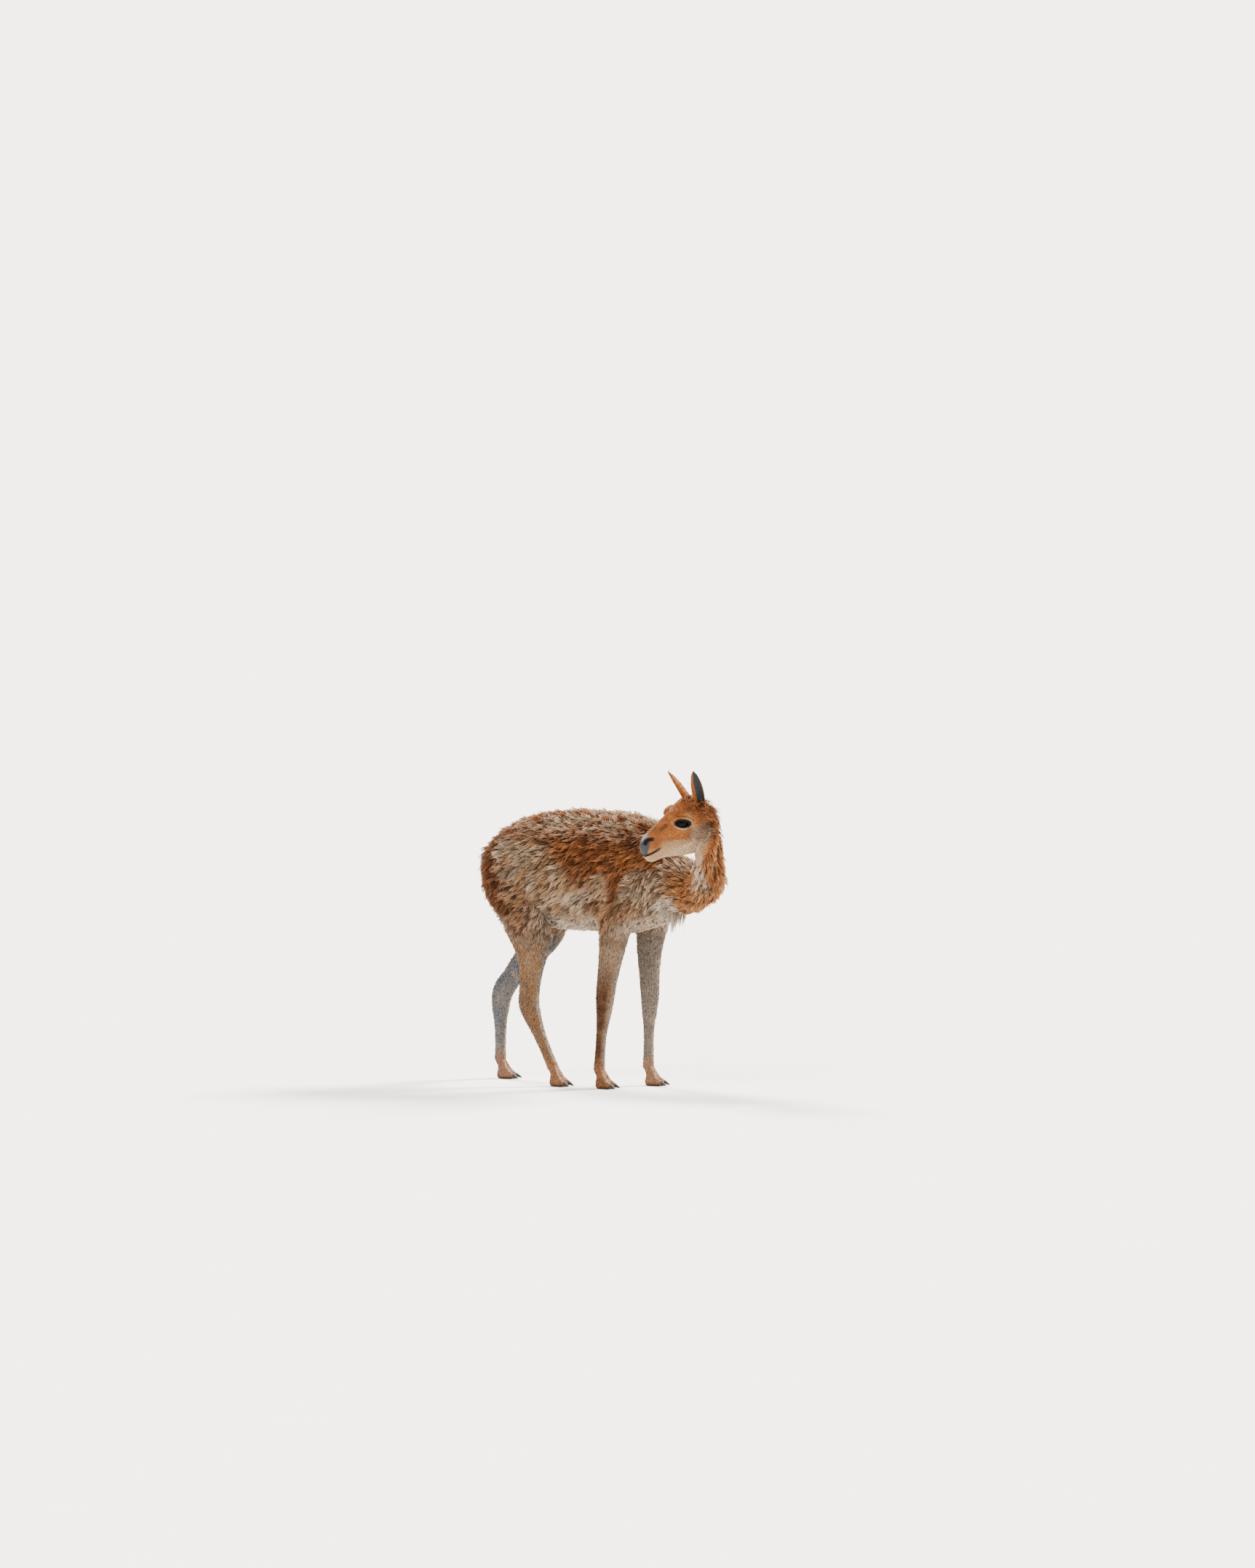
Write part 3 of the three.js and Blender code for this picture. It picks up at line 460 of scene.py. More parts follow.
def head_flesh():
    """The skull's shape with brow, cheekbone, jaw muscle, lips, chin and the wings of the nostrils."""
    shapes = [skull_rings()]
    for side in SIDES.values():
        cheekbone, wing = (
            rope_shape([on_cheek(x, z, side) for x, z in path], 3.4)
            for path in (((34, -16), (50, -18), (72, -20)), ((110, 1), (119, 5), (128, 4), (137, -3))))
        shapes += [
            ball((-34, side * 40, -58), (34, 16, 36)),
            ball((4, side * 23, 32), (24, 15, 14), turn=8),
            rope_shape(lid_points(side, 1, 1.28), 6),
            cheekbone, wing,
            ball((124, side * 15, -34), (19, 11, 11)),
        ]
    shapes += [
        rope_shape(lip_points(MOUTH_HEIGHT + 5), 3.8),
        rope_shape(lip_points(MOUTH_HEIGHT - 5), 3.4),
        ball((126, 0, -70), (18, 15, 11)),
    ]
    return [from_head(shape) for shape in shapes]


NOSTRIL = [(107, -5), (115, -2), (123, -1), (130, -4), (134, -8)]


def head_cuts():
    """The openings: the line of the mouth, the nostrils, the cleft of the lip and the eyes."""
    outer, inner = (np.array(lip_points(MOUTH_HEIGHT, reach)) for reach in (1.12, 0.84))
    gaps = np.interp(np.arange(len(outer)), [0, 4, 9, 14, 18], [1.2, 3.2, 3.8, 3.2, 1.2])
    rows = [
        (tuple((a + b) / 2), (0, 0, 1), gap, gap, np.linalg.norm(a - b) / 2)
        for a, b, gap in zip(outer, inner, gaps)
    ]
    shapes = [tube(rows, rings=70, sides=12)]
    eye_x, eye_z = EYE_OPENING
    for side in SIDES.values():
        shapes += [
            rope_shape([on_cheek(x, z, side) for x, z in NOSTRIL], 5.2),
            ball((eye_x, side * (EYE_AT[1] + 26), eye_z), (EYE_LONG, 22, EYE_HIGH), turn=EYE_TILT),
        ]
    shapes.append(ball((158, 0, -30), (6, 1.3, 13)))
    return [from_head(shape) for shape in shapes]


def head_skin():
    head = fused(solid(head_flesh(), "head_skin"), voxel=1.9, rounds=4)
    combined(head, solid(head_cuts()), "DIFFERENCE")
    lids, sockets = [], []
    for side in SIDES.values():
        lids.append(from_head(rope_shape(lid_points(side, 0.8), 5.0)))
        lids.append(from_head(rope_shape(lid_points(side, -1), 3.0)))
        sockets.append(from_head(ball((EYE_AT[0], side * EYE_AT[1], EYE_AT[2]), (EYE_RADIUS,) * 3)))
    combined(head, solid(lids), "UNION")
    combined(head, solid(sockets), "DIFFERENCE")
    return fused(head, voxel=1.7, rounds=2)


def ear_axes(along, opening):
    """The ways along an ear, out of its cup and across it."""
    up = unit(np.array(along, float))
    cup = unit(np.array(opening, float) - np.dot(opening, up) * up)
    return up, cup, np.cross(up, cup)


def ear_shape(side):
    """A cup of thin walls whose rims roll in towards the root."""
    at, along, opening = EARS[side]
    up, cup, across = ear_axes(along, opening)
    shape = []
    for share, wide, deep, arc, thick in smooth(EAR, 56):
        angle = np.radians(arc * (1 - np.arange(19) / 9))
        lean = EAR_BEND * share * share
        thin = thick * (0.55 + 0.45 * np.cos(angle / 2) ** 2)
        wide = wide * EAR_WIDTH
        outer = np.stack([lean - deep * np.cos(angle), wide * np.sin(angle)], 1)
        inner = np.stack([lean - (deep - thin) * np.cos(angle), (wide - thin / 2) * np.sin(angle)], 1)
        ring = np.vstack([outer, inner[::-1]])
        shape.append(ring[:, :1] * cup + ring[:, 1:] * across + share * EAR_LENGTH * up)
    return from_head(np.array(shape) + np.array(at, float))


KEPT_FACES = 0.42  # the share of the body's faces that stays


def kept_inside(piece):
    """Presses what passes the solids' box back to it, which flattens the soles on the floor."""
    places = np.clip(rows_of(piece.data.vertices, "co", np.float32), BOX_LOW, BOX_HIGH)
    piece.data.vertices.foreach_set("co", places.astype(np.float32).ravel())
    piece.data.update()


def whole_skin():
    """The animal's whole skin as one closed surface."""
    shapes = [torso_shape(), neck_shape(), tail_shape()]
    for name in LEGS:
        shapes.append(leg_shape(name))
        for across in SIDES.values():
            shapes.append(toe_shape(name, TOE, across, rings=30, sides=20))
    skin = fused(solid(shapes, "vicuna_skin"), voxel=3.5, rounds=5)
    thin = skin.modifiers.new("thin", "DECIMATE")
    thin.ratio = KEPT_FACES
    applied(skin)
    combined(skin, head_skin(), "UNION")
    for side in EARS:
        combined(skin, solid([ear_shape(side)]), "UNION")
    kept_inside(skin)
    return skin


skin = whole_skin()


# The skin's surface as rows of numbers, in the animal's own frame

skin.data.calc_loop_triangles()
skin_points = rows_of(skin.data.vertices, "co", float) / MM - MIDDLE
skin_normals = rows_of(skin.data.vertex_normals, "vector", np.float32).astype(float)
corners = rows_of(skin.data.loop_triangles, "vertices", np.int32)
triangle_areas = 0.5 * np.linalg.norm(np.cross(
    skin_points[corners[:, 1]] - skin_points[corners[:, 0]],
    skin_points[corners[:, 2]] - skin_points[corners[:, 0]]), axis=1)


def scatter(spacing, wanted):
    """Places spread over the skin, about this far apart, where wanted is true."""
    count = int(4 * triangle_areas.sum() / spacing ** 2)
    chosen = corners[random.choice(len(corners), count, p=triangle_areas / triangle_areas.sum())]
    a = np.sqrt(random.random((count, 1)))
    b = random.random((count, 1))
    shares = np.hstack([1 - a, a * (1 - b), a * b])[..., None]
    points = (skin_points[chosen] * shares).sum(1)
    normals = unit((skin_normals[chosen] * shares).sum(1))
    first = np.unique(cells(points, spacing), return_index=True)[1]
    points, normals = points[first], normals[first]
    there = wanted(points)
    return points[there], normals[there]


# Where a place lies on the animal

neck_line = smooth([at for at, *_ in NECK], 60)
neck_way = unit(np.gradient(neck_line, axis=0))
neck_back = unit(smooth([up for _, up, *_ in NECK], 60))
NECK_START, NAPE_REACH = 318.0, 205.0
FORE = 40.0  # the fore legs lie in front of this


def where_is(points):
    """What the coat's length, lie and colour depend on, for each place."""
    head = in_head(points)
    past_nape = (head - NAPE_AT) @ NAPE_NORMAL
    on_head = (past_nape > 0) & (np.linalg.norm(head, axis=1) < NAPE_REACH)
    station = np.linalg.norm(points[:, None] - neck_line[None], axis=2).argmin(1)
    on_neck = ~on_head & (points[:, 0] > NECK_START) & (points[:, 2] > 560)
    leg = np.zeros(len(points), int)
    centre = np.zeros((len(points), 2))
    for number, (name, (path, _)) in enumerate(LEGS.items(), 1):
        line = np.array(path, float)[::-1]
        at = np.stack([np.interp(points[:, 2], line[:, 2], line[:, k]) for k in (0, 1)], 1)
        near = (np.linalg.norm(points[:, :2] - at, axis=1) < 130) & (points[:, 1] * line[0, 1] > 0)
        mine = near & (points[:, 2] < WOOL_FOOT[name.split("_")[0]] + WOOL_FADE) & ~on_head
        leg[mine] = number
        centre[mine] = at[mine]
    foot = np.where(points[:, 0] > FORE, WOOL_FOOT["fore"], WOOL_FOOT["hind"])
    return Record(head=head, on_head=on_head, station=station, on_neck=on_neck, leg=leg, centre=centre,
                  foot=foot, past_nape=past_nape)


def ear_share(head, normals=None):
    """How far up an ear each place lies, or below 0 off the ears, and how far into the cup: 0 outside,
    rising from its rim to 1 at its middle."""
    share = np.full(len(head), -1.0)
    inside = np.zeros(len(head))
    for at, along, opening in EARS.values():
        up, cup, across = ear_axes(along, opening)
        rest = head - np.array(at, float)
        height = rest @ up / EAR_LENGTH
        out = rest - (rest @ up)[:, None] * up
        wide = np.interp(height, [row[0] for row in EAR], [row[1] for row in EAR])
        mine = (height > 0.14) & (height < 1.1) & (np.linalg.norm(out, axis=1) < wide + 9)
        share[mine] = height[mine]
        if normals is not None:
            out = out - (EAR_BEND * height ** 2)[:, None] * cup
            facing = (normals @ HEAD_BASIS * out).sum(1) < 0
            middle = 1 - np.abs(out @ across * 1.25 + 0.3 * wide * np.sign(across[0])) / wide
            inside[mine & facing] = np.clip(middle, 0.02, 1)[mine & facing]
    return share, inside


def wool_depth(points, place):
    """1 in full fleece, 0 on the face, the ears and the lower legs."""
    depth = fade(place.foot - 95, place.foot + WOOL_FADE, points[:, 2])
    head = place.head
    crown = fade(-18, -78, head[:, 0]) * fade(-30, 20, head[:, 2])
    cheek = fade(-30, -100, head[:, 0])
    share, _ = ear_share(head)
    on_head = np.maximum(crown, cheek) * (share < 0)
    return np.where(place.on_head, on_head, depth)


def lie_of(points, normals, place):
    """The way the hair lies: back and down on the body, down the neck and legs, back from the nose."""
    steep = 1.1 * (1 - np.abs(normals[:, 2]))
    lie = np.stack([-np.ones(len(points)), np.zeros(len(points)), -steep], 1)
    low = fade(place.foot + 110, place.foot - 20, points[:, 2])
    lie = mixed(unit(lie), np.array([-0.25, 0, -1.0]), low)
    neck = mixed(lie, -neck_way[place.station], fade(NECK_START - 30, NECK_START + 50, points[:, 0]))
    lie = np.where(place.on_neck[:, None], neck, lie)
    behind = points[:, 0] < -318
    lie = np.where((behind & (place.leg == 0))[:, None], np.array([-0.1, 0, -1.0]), lie)
    head = place.head
    down = fade(40, -60, head[:, 2])
    back = np.stack([-np.ones(len(head)), np.sign(head[:, 1]) * 0.25 * fade(20, 60, head[:, 2]), -0.7 * down], 1)
    to_neck = unit(np.array([0, 0.2, -1.0])) @ HEAD_BASIS
    back = mixed(unit(back), to_neck, fade(-60, -100, head[:, 0]) * down)
    share, _ = ear_share(head)
    back = np.where((share > 0)[:, None], np.array([0, 0, 1.0]), back)
    return np.where(place.on_head[:, None], back @ HEAD_BASIS.T, lie)


# The markings, with painted shade

def saddle_mask(points):
    """1 on the cinnamon saddle, over the back and sides, and 0 on the pale flanks and belly."""
    x, z = points[:, 0], points[:, 2] + 14 * ripple(points, 50, 3)
    edge = np.interp(x, [-330, -213, -88, -25, 48, 122, 150, 178, 205, 235, 268, 309, 345],
                     [812, 812, 800, 745, 705, 672, 610, 600, 640, 690, 715, 728, 742])
    return fade(-34, 34, z - edge)


def rear_mask(points):
    """1 on the orange band down the rear of the rump and thigh."""
    edge = np.interp(points[:, 2], [430, 533, 623, 714, 790], [-176, -192, -232, -262, -300])
    return fade(32, -4, points[:, 0] - edge + 9 * ripple(points, 45, 4)) * fade(380, 450, points[:, 2])


def near_path(points, path):
    """How far each place is from a line through points given as x and z."""
    flat = points[:, [0, 2]]
    path = np.array(path, float)
    far = np.full(len(points), 1e9)
    for a, b in zip(path[:-1], path[1:]):
        share = np.clip((flat - a) @ (b - a) / ((b - a) @ (b - a)), 0, 1)
        far = np.minimum(far, np.linalg.norm(flat - a - share[:, None] * (b - a), axis=1))
    return far


def trunk_colour(points, normals):
    """A cinnamon saddle, pale flank and belly, brown elbow and thigh, a rust band down the rear, and painted
    shade in the fold of the flank in front of the thigh.
    """
    x, y, z = points.T
    tone = ripple(points, 60, 5)
    brown = mixed(mixed(CINNAMON, FAWN, 0.45 + 0.4 * tone), DARK_BROWN, 0.15 + 0.2 * tone)
    elbow = fade(70, 120, x) * fade(280, 220, x) * fade(660, 600, z)
    thigh = fade(-90, -170, x) * fade(700, 600, z)
    flank = fade(-160, -60, x) * fade(60, 0, x)
    low = fade(20, -60, x) * fade(640, 560, z)
    shoulder = fade(150, 230, x) * fade(740, 680, z)
    colour = layered(
        mixed(CREAM, GREY_TAN, 0.5 + 0.4 * tone),
        (FAWN, 0.8 * fade(-0.2, 0.7, ripple(points, 34, 6))),
        (FAWN, 0.5 * flank),
        (WHITE, 0.3 * fade(-0.2, 0.8, ripple(points, 42, 16)) + 0.1 * low),
        (CREAM, 0.5 * shoulder),
        (brown, 0.9 * np.maximum(elbow, thigh)))
    dark = fade(0.0, 0.9, ripple(points, 40, 29)) * fade(880, 800, z)
    streak = fade(34, 12, near_path(points, [(146, 690), (150, 650), (158, 600)]))
    # Paler, speckled wool along the top of the back.
    pale_back_top = fade(790, 870, z) * fade(-0.8, 0.2, ripple(points, 20, 17))
    saddle = layered(
        mixed(CINNAMON, RUST, 0.5 + 0.45 * ripple(points, 80, 7)),
        (DARK_BROWN, 0.4 * dark),
        (mixed(FAWN, CREAM, 0.5 + 0.3 * tone), 0.95 * streak),
        (mixed(CREAM, WHITE, 0.2), 0.8 * pale_back_top),
        *((ORANGE, fade(16, 8, np.linalg.norm(points - np.array(at), axis=1))) for at in ORANGE_TUFTS))
    rear = mixed(RUST, CINNAMON, 0.15 + 0.2 * tone) * 0.75
    colour = layered(colour, (saddle, saddle_mask(points)), (rear, rear_mask(points)))
    # Painted shade: the coat is darkened along the fold of the flank in front of the thigh, on the sides.
    crease_shade = fade(17, 4, near_path(points, [(-84, 640), (-62, 598), (-52, 548), (-66, 505)]))
    colour = colour * (1 - 0.6 * crease_shade * (np.abs(y) > 60))[:, None]
    belly = fade(0.25, -0.55, normals[:, 2]) * fade(600, 530, z)
    return mixed(colour, WHITE, 0.75 * belly)


def round_neck(points, place):
    """The angle round the neck from its upper side, and the distance from its middle line."""
    out = points - neck_line[place.station]
    across = np.cross(neck_back[place.station], neck_way[place.station])
    a, b = (out * across).sum(1), (out * neck_back[place.station]).sum(1)
    return np.arctan2(a, b), np.hypot(a, b)


# Partings in the wool of the neck: the angle round it, and where each starts and ends along it
PARTINGS = [
    (2.5, 27, 33), (1.9, 31, 36), (1.3, 36, 41), (2.1, 22, 27), (0.5, 39, 45), (-0.4, 29, 36), (-1.8, 25, 32),
]


def parting_mask(points, place):
    """1 in the dark partings of the neck's wool."""
    angle, far = round_neck(points, place)
    station = place.station
    mask = np.zeros(len(points))
    for at, start, end in PARTINGS:
        bend = 0.12 * np.sin(station * 0.35 + at * 3)
        gap = (angle - at - bend + math.pi) % (2 * math.pi) - math.pi
        inside = fade(start - 1, start + 3, station) * fade(end + 1, end - 3, station)
        mask = np.maximum(mask, fade(6.5, 3.5, np.abs(gap) * far) * inside)
    return mask * place.on_neck


def neck_colour(points, normals, place):
    """Orange-brown, with a beige throat, a grey-tan place at the jaw, pale flecks at its root and painted shade
    in the partings of its wool.
    """
    back = (normals * neck_back[place.station]).sum(1)
    station = place.station.astype(float)
    throat = fade(-0.62, -0.84, back + 0.1 * ripple(points, 40, 9)) * fade(24, 31, station)
    jaw = fade(48, 54, station + 2 * ripple(points, 30, 19)) * fade(0.5, -0.1, back)
    root = fade(26, 20, station + 3 * ripple(points, 30, 25)) * fade(0.1, 0.5, back)
    colour = layered(
        mixed(CINNAMON, FAWN, 0.3 + 0.3 * ripple(points, 45, 8)) * 1.25,
        (RUST, 0.3 * fade(0.0, 0.8, ripple(points, 28, 18))),
        (mixed(CREAM, WHITE, 0.3), 0.9 * throat),
        (mixed(GREY_TAN, CREAM, 0.4), 0.7 * jaw),
        (mixed(WHITE, FAWN, 0.4 + 0.4 * ripple(points, 16, 26)), 0.85 * root * fade(50, 0, points[:, 1])))
    # Painted shade: the partings in the neck's wool are darkened by up to 0.75.
    return colour * (1 - 0.75 * parting_mask(points, place))[:, None]


def leg_colour(points, normals):
    """Fawn outside, grey in front, painted bluish shade on the inner side (half cream on the fore legs), brown
    below the knee, tan on the feet.
    """
    z = points[:, 2]
    outside = normals[:, 1] * np.sign(points[:, 1])
    fore = points[:, 0] > FORE
    grey = mixed(LEG_GREY, CREAM, 0.35 + 0.35 * ripple(points, 30, 10))
    fawn = mixed(FAWN, LEG_GREY, 0.25 + 0.3 * ripple(points, 22, 11))
    # Painted shade: the inner side of each leg, facing the other legs, gets a dark bluish grey; on the fore legs
    # it is half cream.
    inner = np.where(fore[:, None], (np.array(CREAM) + np.array(INNER_SHADE_GREY)) / 2, INNER_SHADE_GREY)
    behind = fade(0.1, -0.6, normals[:, 0]) * fade(0.8, 0.1, np.abs(outside))
    colour = layered(
        grey,
        (fawn, fade(-0.2, 0.5, outside - 0.5 * normals[:, 0]) * np.where(fore, 0.5, 0.95)),
        (inner * 0.85, (0.7 + 0.2 * ripple(points, 24, 31)) * fade(0.1, -0.5, outside)),
        (CINNAMON, 0.6 * behind))
    patch = ripple(points, 26, 30)
    knee = fade(450, 290, z + 22 * patch) * fade(1.0, 0.2, normals[:, 0]) * fade(-0.6, 0.1, outside)
    knee = knee * (0.85 + 0.15 * patch) * np.where(fore, 1, 0.4)
    return layered(
        colour * 0.75,
        (mixed(RUST, DARK_BROWN, 0.8) * 0.7, np.clip(knee * 1.2, 0, 1)),
        (mixed(CINNAMON, LEG_GREY, 0.3), 0.7 * fade(120, 60, z)),
        (DARK_BROWN, fade(9, 3, z)))


def nose_front(height):
    """How far forward the hair ends on the muzzle, where the bare nose starts."""
    return np.interp(height, [-45, -34, -13, -5, 12], [146, 138, 121, 114, 108])


def head_colour(head, normals):
    """Orange-brown above, beige below, with a pale eye ring, a dark stripe and grey nose and lips, and painted
    shade in the nostrils and the cups of the ears.
    """
    x, y, z = head[:, 0], np.abs(head[:, 1]), head[:, 2]
    to_x, to_z = x - EYE_OPENING[0], z - EYE_OPENING[1]
    along, up = turned(to_x, to_z, -EYE_TILT)
    eye = np.hypot(along / EYE_LONG, up / EYE_HIGH)
    speckle = ripple(head, 16, 12)
    snout = fade(30, 60, x) * fade(0.0, 0.9, ripple(head, 13, 32))
    top = layered(CINNAMON, (RUST, 0.25 + 0.4 * speckle), (mixed(GREY_TAN, DARK_BROWN, 0.6), 0.5 * snout))
    line = np.interp(x, [-110, -60, -23, 10, 66, 100, 125], [-78, -46, -36, -50, -32, -36, -38])
    over = z - line + 6 * speckle
    flecks = fade(34, 14, np.hypot(x + 24, z + 62)) * fade(-0.1, 0.8, ripple(head, 9, 27))
    brow = fade(17, 8, np.hypot(x + 26, z - 8))
    ring = fade(1.7, 1.3, eye + 0.12 * speckle) * fade(1.0, 1.2, eye) * (y > 12)
    stripe = fade(7, 3, np.abs(z - 12 + 0.17 * (x - 45))) * fade(38, 46, x) * fade(78, 68, x) * (y > 15)
    nose = fade(-5, 5, x - nose_front(z) + 2.5 * speckle) * fade(-47, -42, z)
    skin_grey = mixed(NOSE_GREY, LEG_GREY, 0.5 * fade(-6, 8, z) + 0.12 * fade(-0.5, 0.8, speckle))
    # Painted shade: the nostrils are darkened to near black, a little wider than their cut.
    nostril_shade = fade(7.5, 4, near_path(head, NOSTRIL)) * (y > 8)
    lips = fade(5.5, 3, np.abs(z - MOUTH_HEIGHT)) * fade(MOUTH_CORNER - 8, MOUTH_CORNER + 2, x)
    share, inside = ear_share(head, normals)
    ear = mixed(mixed(CINNAMON, RUST, 0.4), CINNAMON, fade(0.4, 1, share))
    # Painted shade: inside the ear the colour darkens towards near black at the middle of the cup, where it is
    # deepest.
    depth = fade(0.1, 0.42, inside + 0.05 * speckle)
    cup = mixed(mixed(CINNAMON, RUST, 0.5), mixed(NOSE_GREY, NEAR_BLACK, 0.3), depth)
    return layered(
        mixed(CREAM, GREY_TAN, 0.45 + 0.35 * speckle),
        (FAWN, 0.3 + 0.25 * fade(10, 80, x)),
        (mixed(FAWN, GREY_TAN, 0.4), 0.8 * fade(-36, -10, over)),
        (top, fade(-14, 10, over)),
        (mixed(GREY_TAN, DARK_BROWN, 0.6), 0.7 * flecks),
        (FAWN, 0.7 * brow),
        (CREAM, (0.1 + 0.4 * fade(8, -4, to_z)) * ring),
        (DARK_BROWN, 0.75 * stripe),
        (CREAM, 0.5 * fade(-66, -84, z) * fade(-60, 0, x)),
        (skin_grey, nose),
        (NEAR_BLACK, 0.95 * nostril_shade),
        (NEAR_BLACK, fade(1.26, 1.1, eye) * (y > 12)),
        (NEAR_BLACK, 0.85 * lips),
        (ear, share > 0.16),
        (cup, inside > 0))


def markings_and_shade(points, normals, place):
    """The coat's colour at each place: its markings, with painted shade in the flank's fold, the neck's partings,
    the legs' inner sides, the nostrils, the ears' cups and on the cheek.
    """
    low = fade(place.foot + 30, place.foot - 50, points[:, 2])
    neck = neck_colour(points, normals, place)
    chest = fade(645, 615, points[:, 2]) * fade(300, 326, points[:, 0]) * fade(402, 376, points[:, 0])
    colour = layered(
        trunk_colour(points, normals),
        (leg_colour(points, normals), low),
        (neck, place.on_neck * fade(NECK_START, NECK_START + 70, points[:, 0])),
        (WHITE, 0.9 * chest))
    face = mixed(neck, head_colour(place.head, normals), fade(0, 30, place.past_nape))
    x, z = place.head[:, 0], place.head[:, 2]
    # A brown patch low on the cheek over the jaw muscle: partly the face's own brown, partly painted shade on the
    # side of the face.
    cheek = fade(56, 22, np.hypot(x + 38, z + 60)) * fade(-26, -44, z) * place.on_head
    brown = mixed(GREY_TAN, DARK_BROWN, 0.4 + 0.35 * ripple(place.head, 12, 12))
    return layered(colour, (face, place.on_head), (brown, 0.8 * cheek))


# Materials

def node(tree, kind, **values):
    """A new node with its inputs or settings."""
    made = tree.nodes.new(kind)
    for key, value in values.items():
        if key in made.inputs.keys():
            made.inputs[key].default_value = value
        else:
            setattr(made, key, value)
    return made


def fibre_grain():
    """Fine light and dark hairs along each tuft: the colour with them, and their height."""
    group = bpy.data.node_groups.new("fibre_grain", "ShaderNodeTree")
    sockets = (("Color", "INPUT", "Color"), ("Places", "INPUT", "Vector"), ("Contrast", "INPUT", "Float"),
               ("Color", "OUTPUT", "Color"), ("Height", "OUTPUT", "Float"))
    for name, way, kind in sockets:
        group.interface.new_socket(name, in_out=way, socket_type=f"NodeSocket{kind}")
    inputs, outputs = node(group, "NodeGroupInput"), node(group, "NodeGroupOutput")
    hairs = node(group, "ShaderNodeTexNoise", Scale=1.0, Detail=3.0, Roughness=0.6)
    spread = node(group, "ShaderNodeMapRange", **{"From Min": 0.3, "From Max": 0.7})
    dark = node(group, "ShaderNodeMath", operation="SUBTRACT")
    dark.inputs[0].default_value = 1.0
    amount = node(group, "ShaderNodeMath", operation="MULTIPLY")
    shade = node(group, "ShaderNodeMix", data_type="RGBA", blend_type="MULTIPLY")
    shade.inputs[7].default_value = (0.30, 0.26, 0.24, 1)
    wire = group.links.new
    wire(inputs.outputs["Places"], hairs.inputs["Vector"])
    wire(hairs.outputs["Fac"], spread.inputs["Value"])
    wire(spread.outputs["Result"], dark.inputs[1])
    wire(dark.outputs[0], amount.inputs[0])
    wire(inputs.outputs["Contrast"], amount.inputs[1])
    wire(amount.outputs[0], shade.inputs[0])
    wire(inputs.outputs["Color"], shade.inputs[6])
    wire(shade.outputs[2], outputs.inputs["Color"])
    wire(spread.outputs["Result"], outputs.inputs["Height"])
    return group


FIBRES = fibre_grain()
SKIN_GRAIN = 420  # how fine the speckle of the bare skin is


def new_material(name, **values):
    """A material with its node tree and its shader, whose inputs have these values."""
    material = bpy.data.materials.new(name)
    material.use_nodes = True
    shader = material.node_tree.nodes["Principled BSDF"]
    for key, value in values.items():
        shader.inputs[key].default_value = value
    return material, material.node_tree, shader


def two_tones(tree, pattern, dark, light):
    """A colour between two, by a pattern on the object."""
    ramp = node(tree, "ShaderNodeValToRGB")
    ramp.color_ramp.elements[0].color = (*dark, 1)
    ramp.color_ramp.elements[1].color = (*light, 1)
    tree.links.new(node(tree, "ShaderNodeTexCoord").outputs["Object"], pattern.inputs["Vector"])
    tree.links.new(pattern.outputs["Fac"], ramp.inputs["Fac"])
    return ramp.outputs["Color"]


def coat_material(name, contrast, roughness, sheen, relief, strands=True):
    """Hair in the colour of the markings, streaked along each tuft or speckled on bare skin."""
    material, tree, shader = new_material(name, Roughness=roughness, **{
        "Sheen Weight": sheen, "Sheen Roughness": 0.5, "Specular IOR Level": 0.2})
    wire = tree.links.new
    colour = node(tree, "ShaderNodeAttribute", attribute_name="markings_and_shade")
    grain = node(tree, "ShaderNodeGroup", node_tree=FIBRES, Contrast=contrast)
    bump = node(tree, "ShaderNodeBump", Strength=relief, Distance=0.001)
    if strands:
        places = node(tree, "ShaderNodeAttribute", attribute_name="strand").outputs["Vector"]
    else:
        stretch = node(tree, "ShaderNodeVectorMath", operation="SCALE", Scale=SKIN_GRAIN)
        wire(node(tree, "ShaderNodeTexCoord").outputs["Object"], stretch.inputs[0])
        places = stretch.outputs[0]
    wire(colour.outputs["Color"], grain.inputs["Color"])
    wire(places, grain.inputs["Places"])
    wire(grain.outputs["Color"], shader.inputs["Base Color"])
    wire(grain.outputs["Height"], bump.inputs["Height"])
    wire(bump.outputs["Normal"], shader.inputs["Normal"])
    return material


WOOL = coat_material("vicuna_wool", contrast=0.5, roughness=0.9, sheen=0.12, relief=0.5)
SHORT_HAIR = coat_material("short_hair", contrast=0.3, roughness=0.75, sheen=0.1, relief=0.35)
LASH = coat_material("dark_lash", contrast=0.2, roughness=0.5, sheen=0.0, relief=0.2)
SKIN = coat_material("haired_skin", contrast=0.35, roughness=0.65, sheen=0.1, relief=0.4, strands=False)


def paint(mesh, colours):
    layer = mesh.color_attributes.new("markings_and_shade", "FLOAT_COLOR", "POINT")
    full = np.hstack([colours, np.ones((len(colours), 1))]).astype(np.float32)
    layer.data.foreach_set("color", full.ravel())


skin_place = where_is(skin_points)
skin_wool = wool_depth(skin_points, skin_place)
# The skin is darkened by up to 0.4 where wool grows: painted shade where it lies down among the tufts.
skin_colour = markings_and_shade(skin_points, skin_normals, skin_place) * (1 - 0.4 * skin_wool)[:, None]
paint(skin.data, skin_colour)


# Tufts

LONG_STEPS = np.array([0, 0.3, 0.6, 0.85, 1.0])
SHORT_STEPS = np.array([0, 0.55, 1.0])


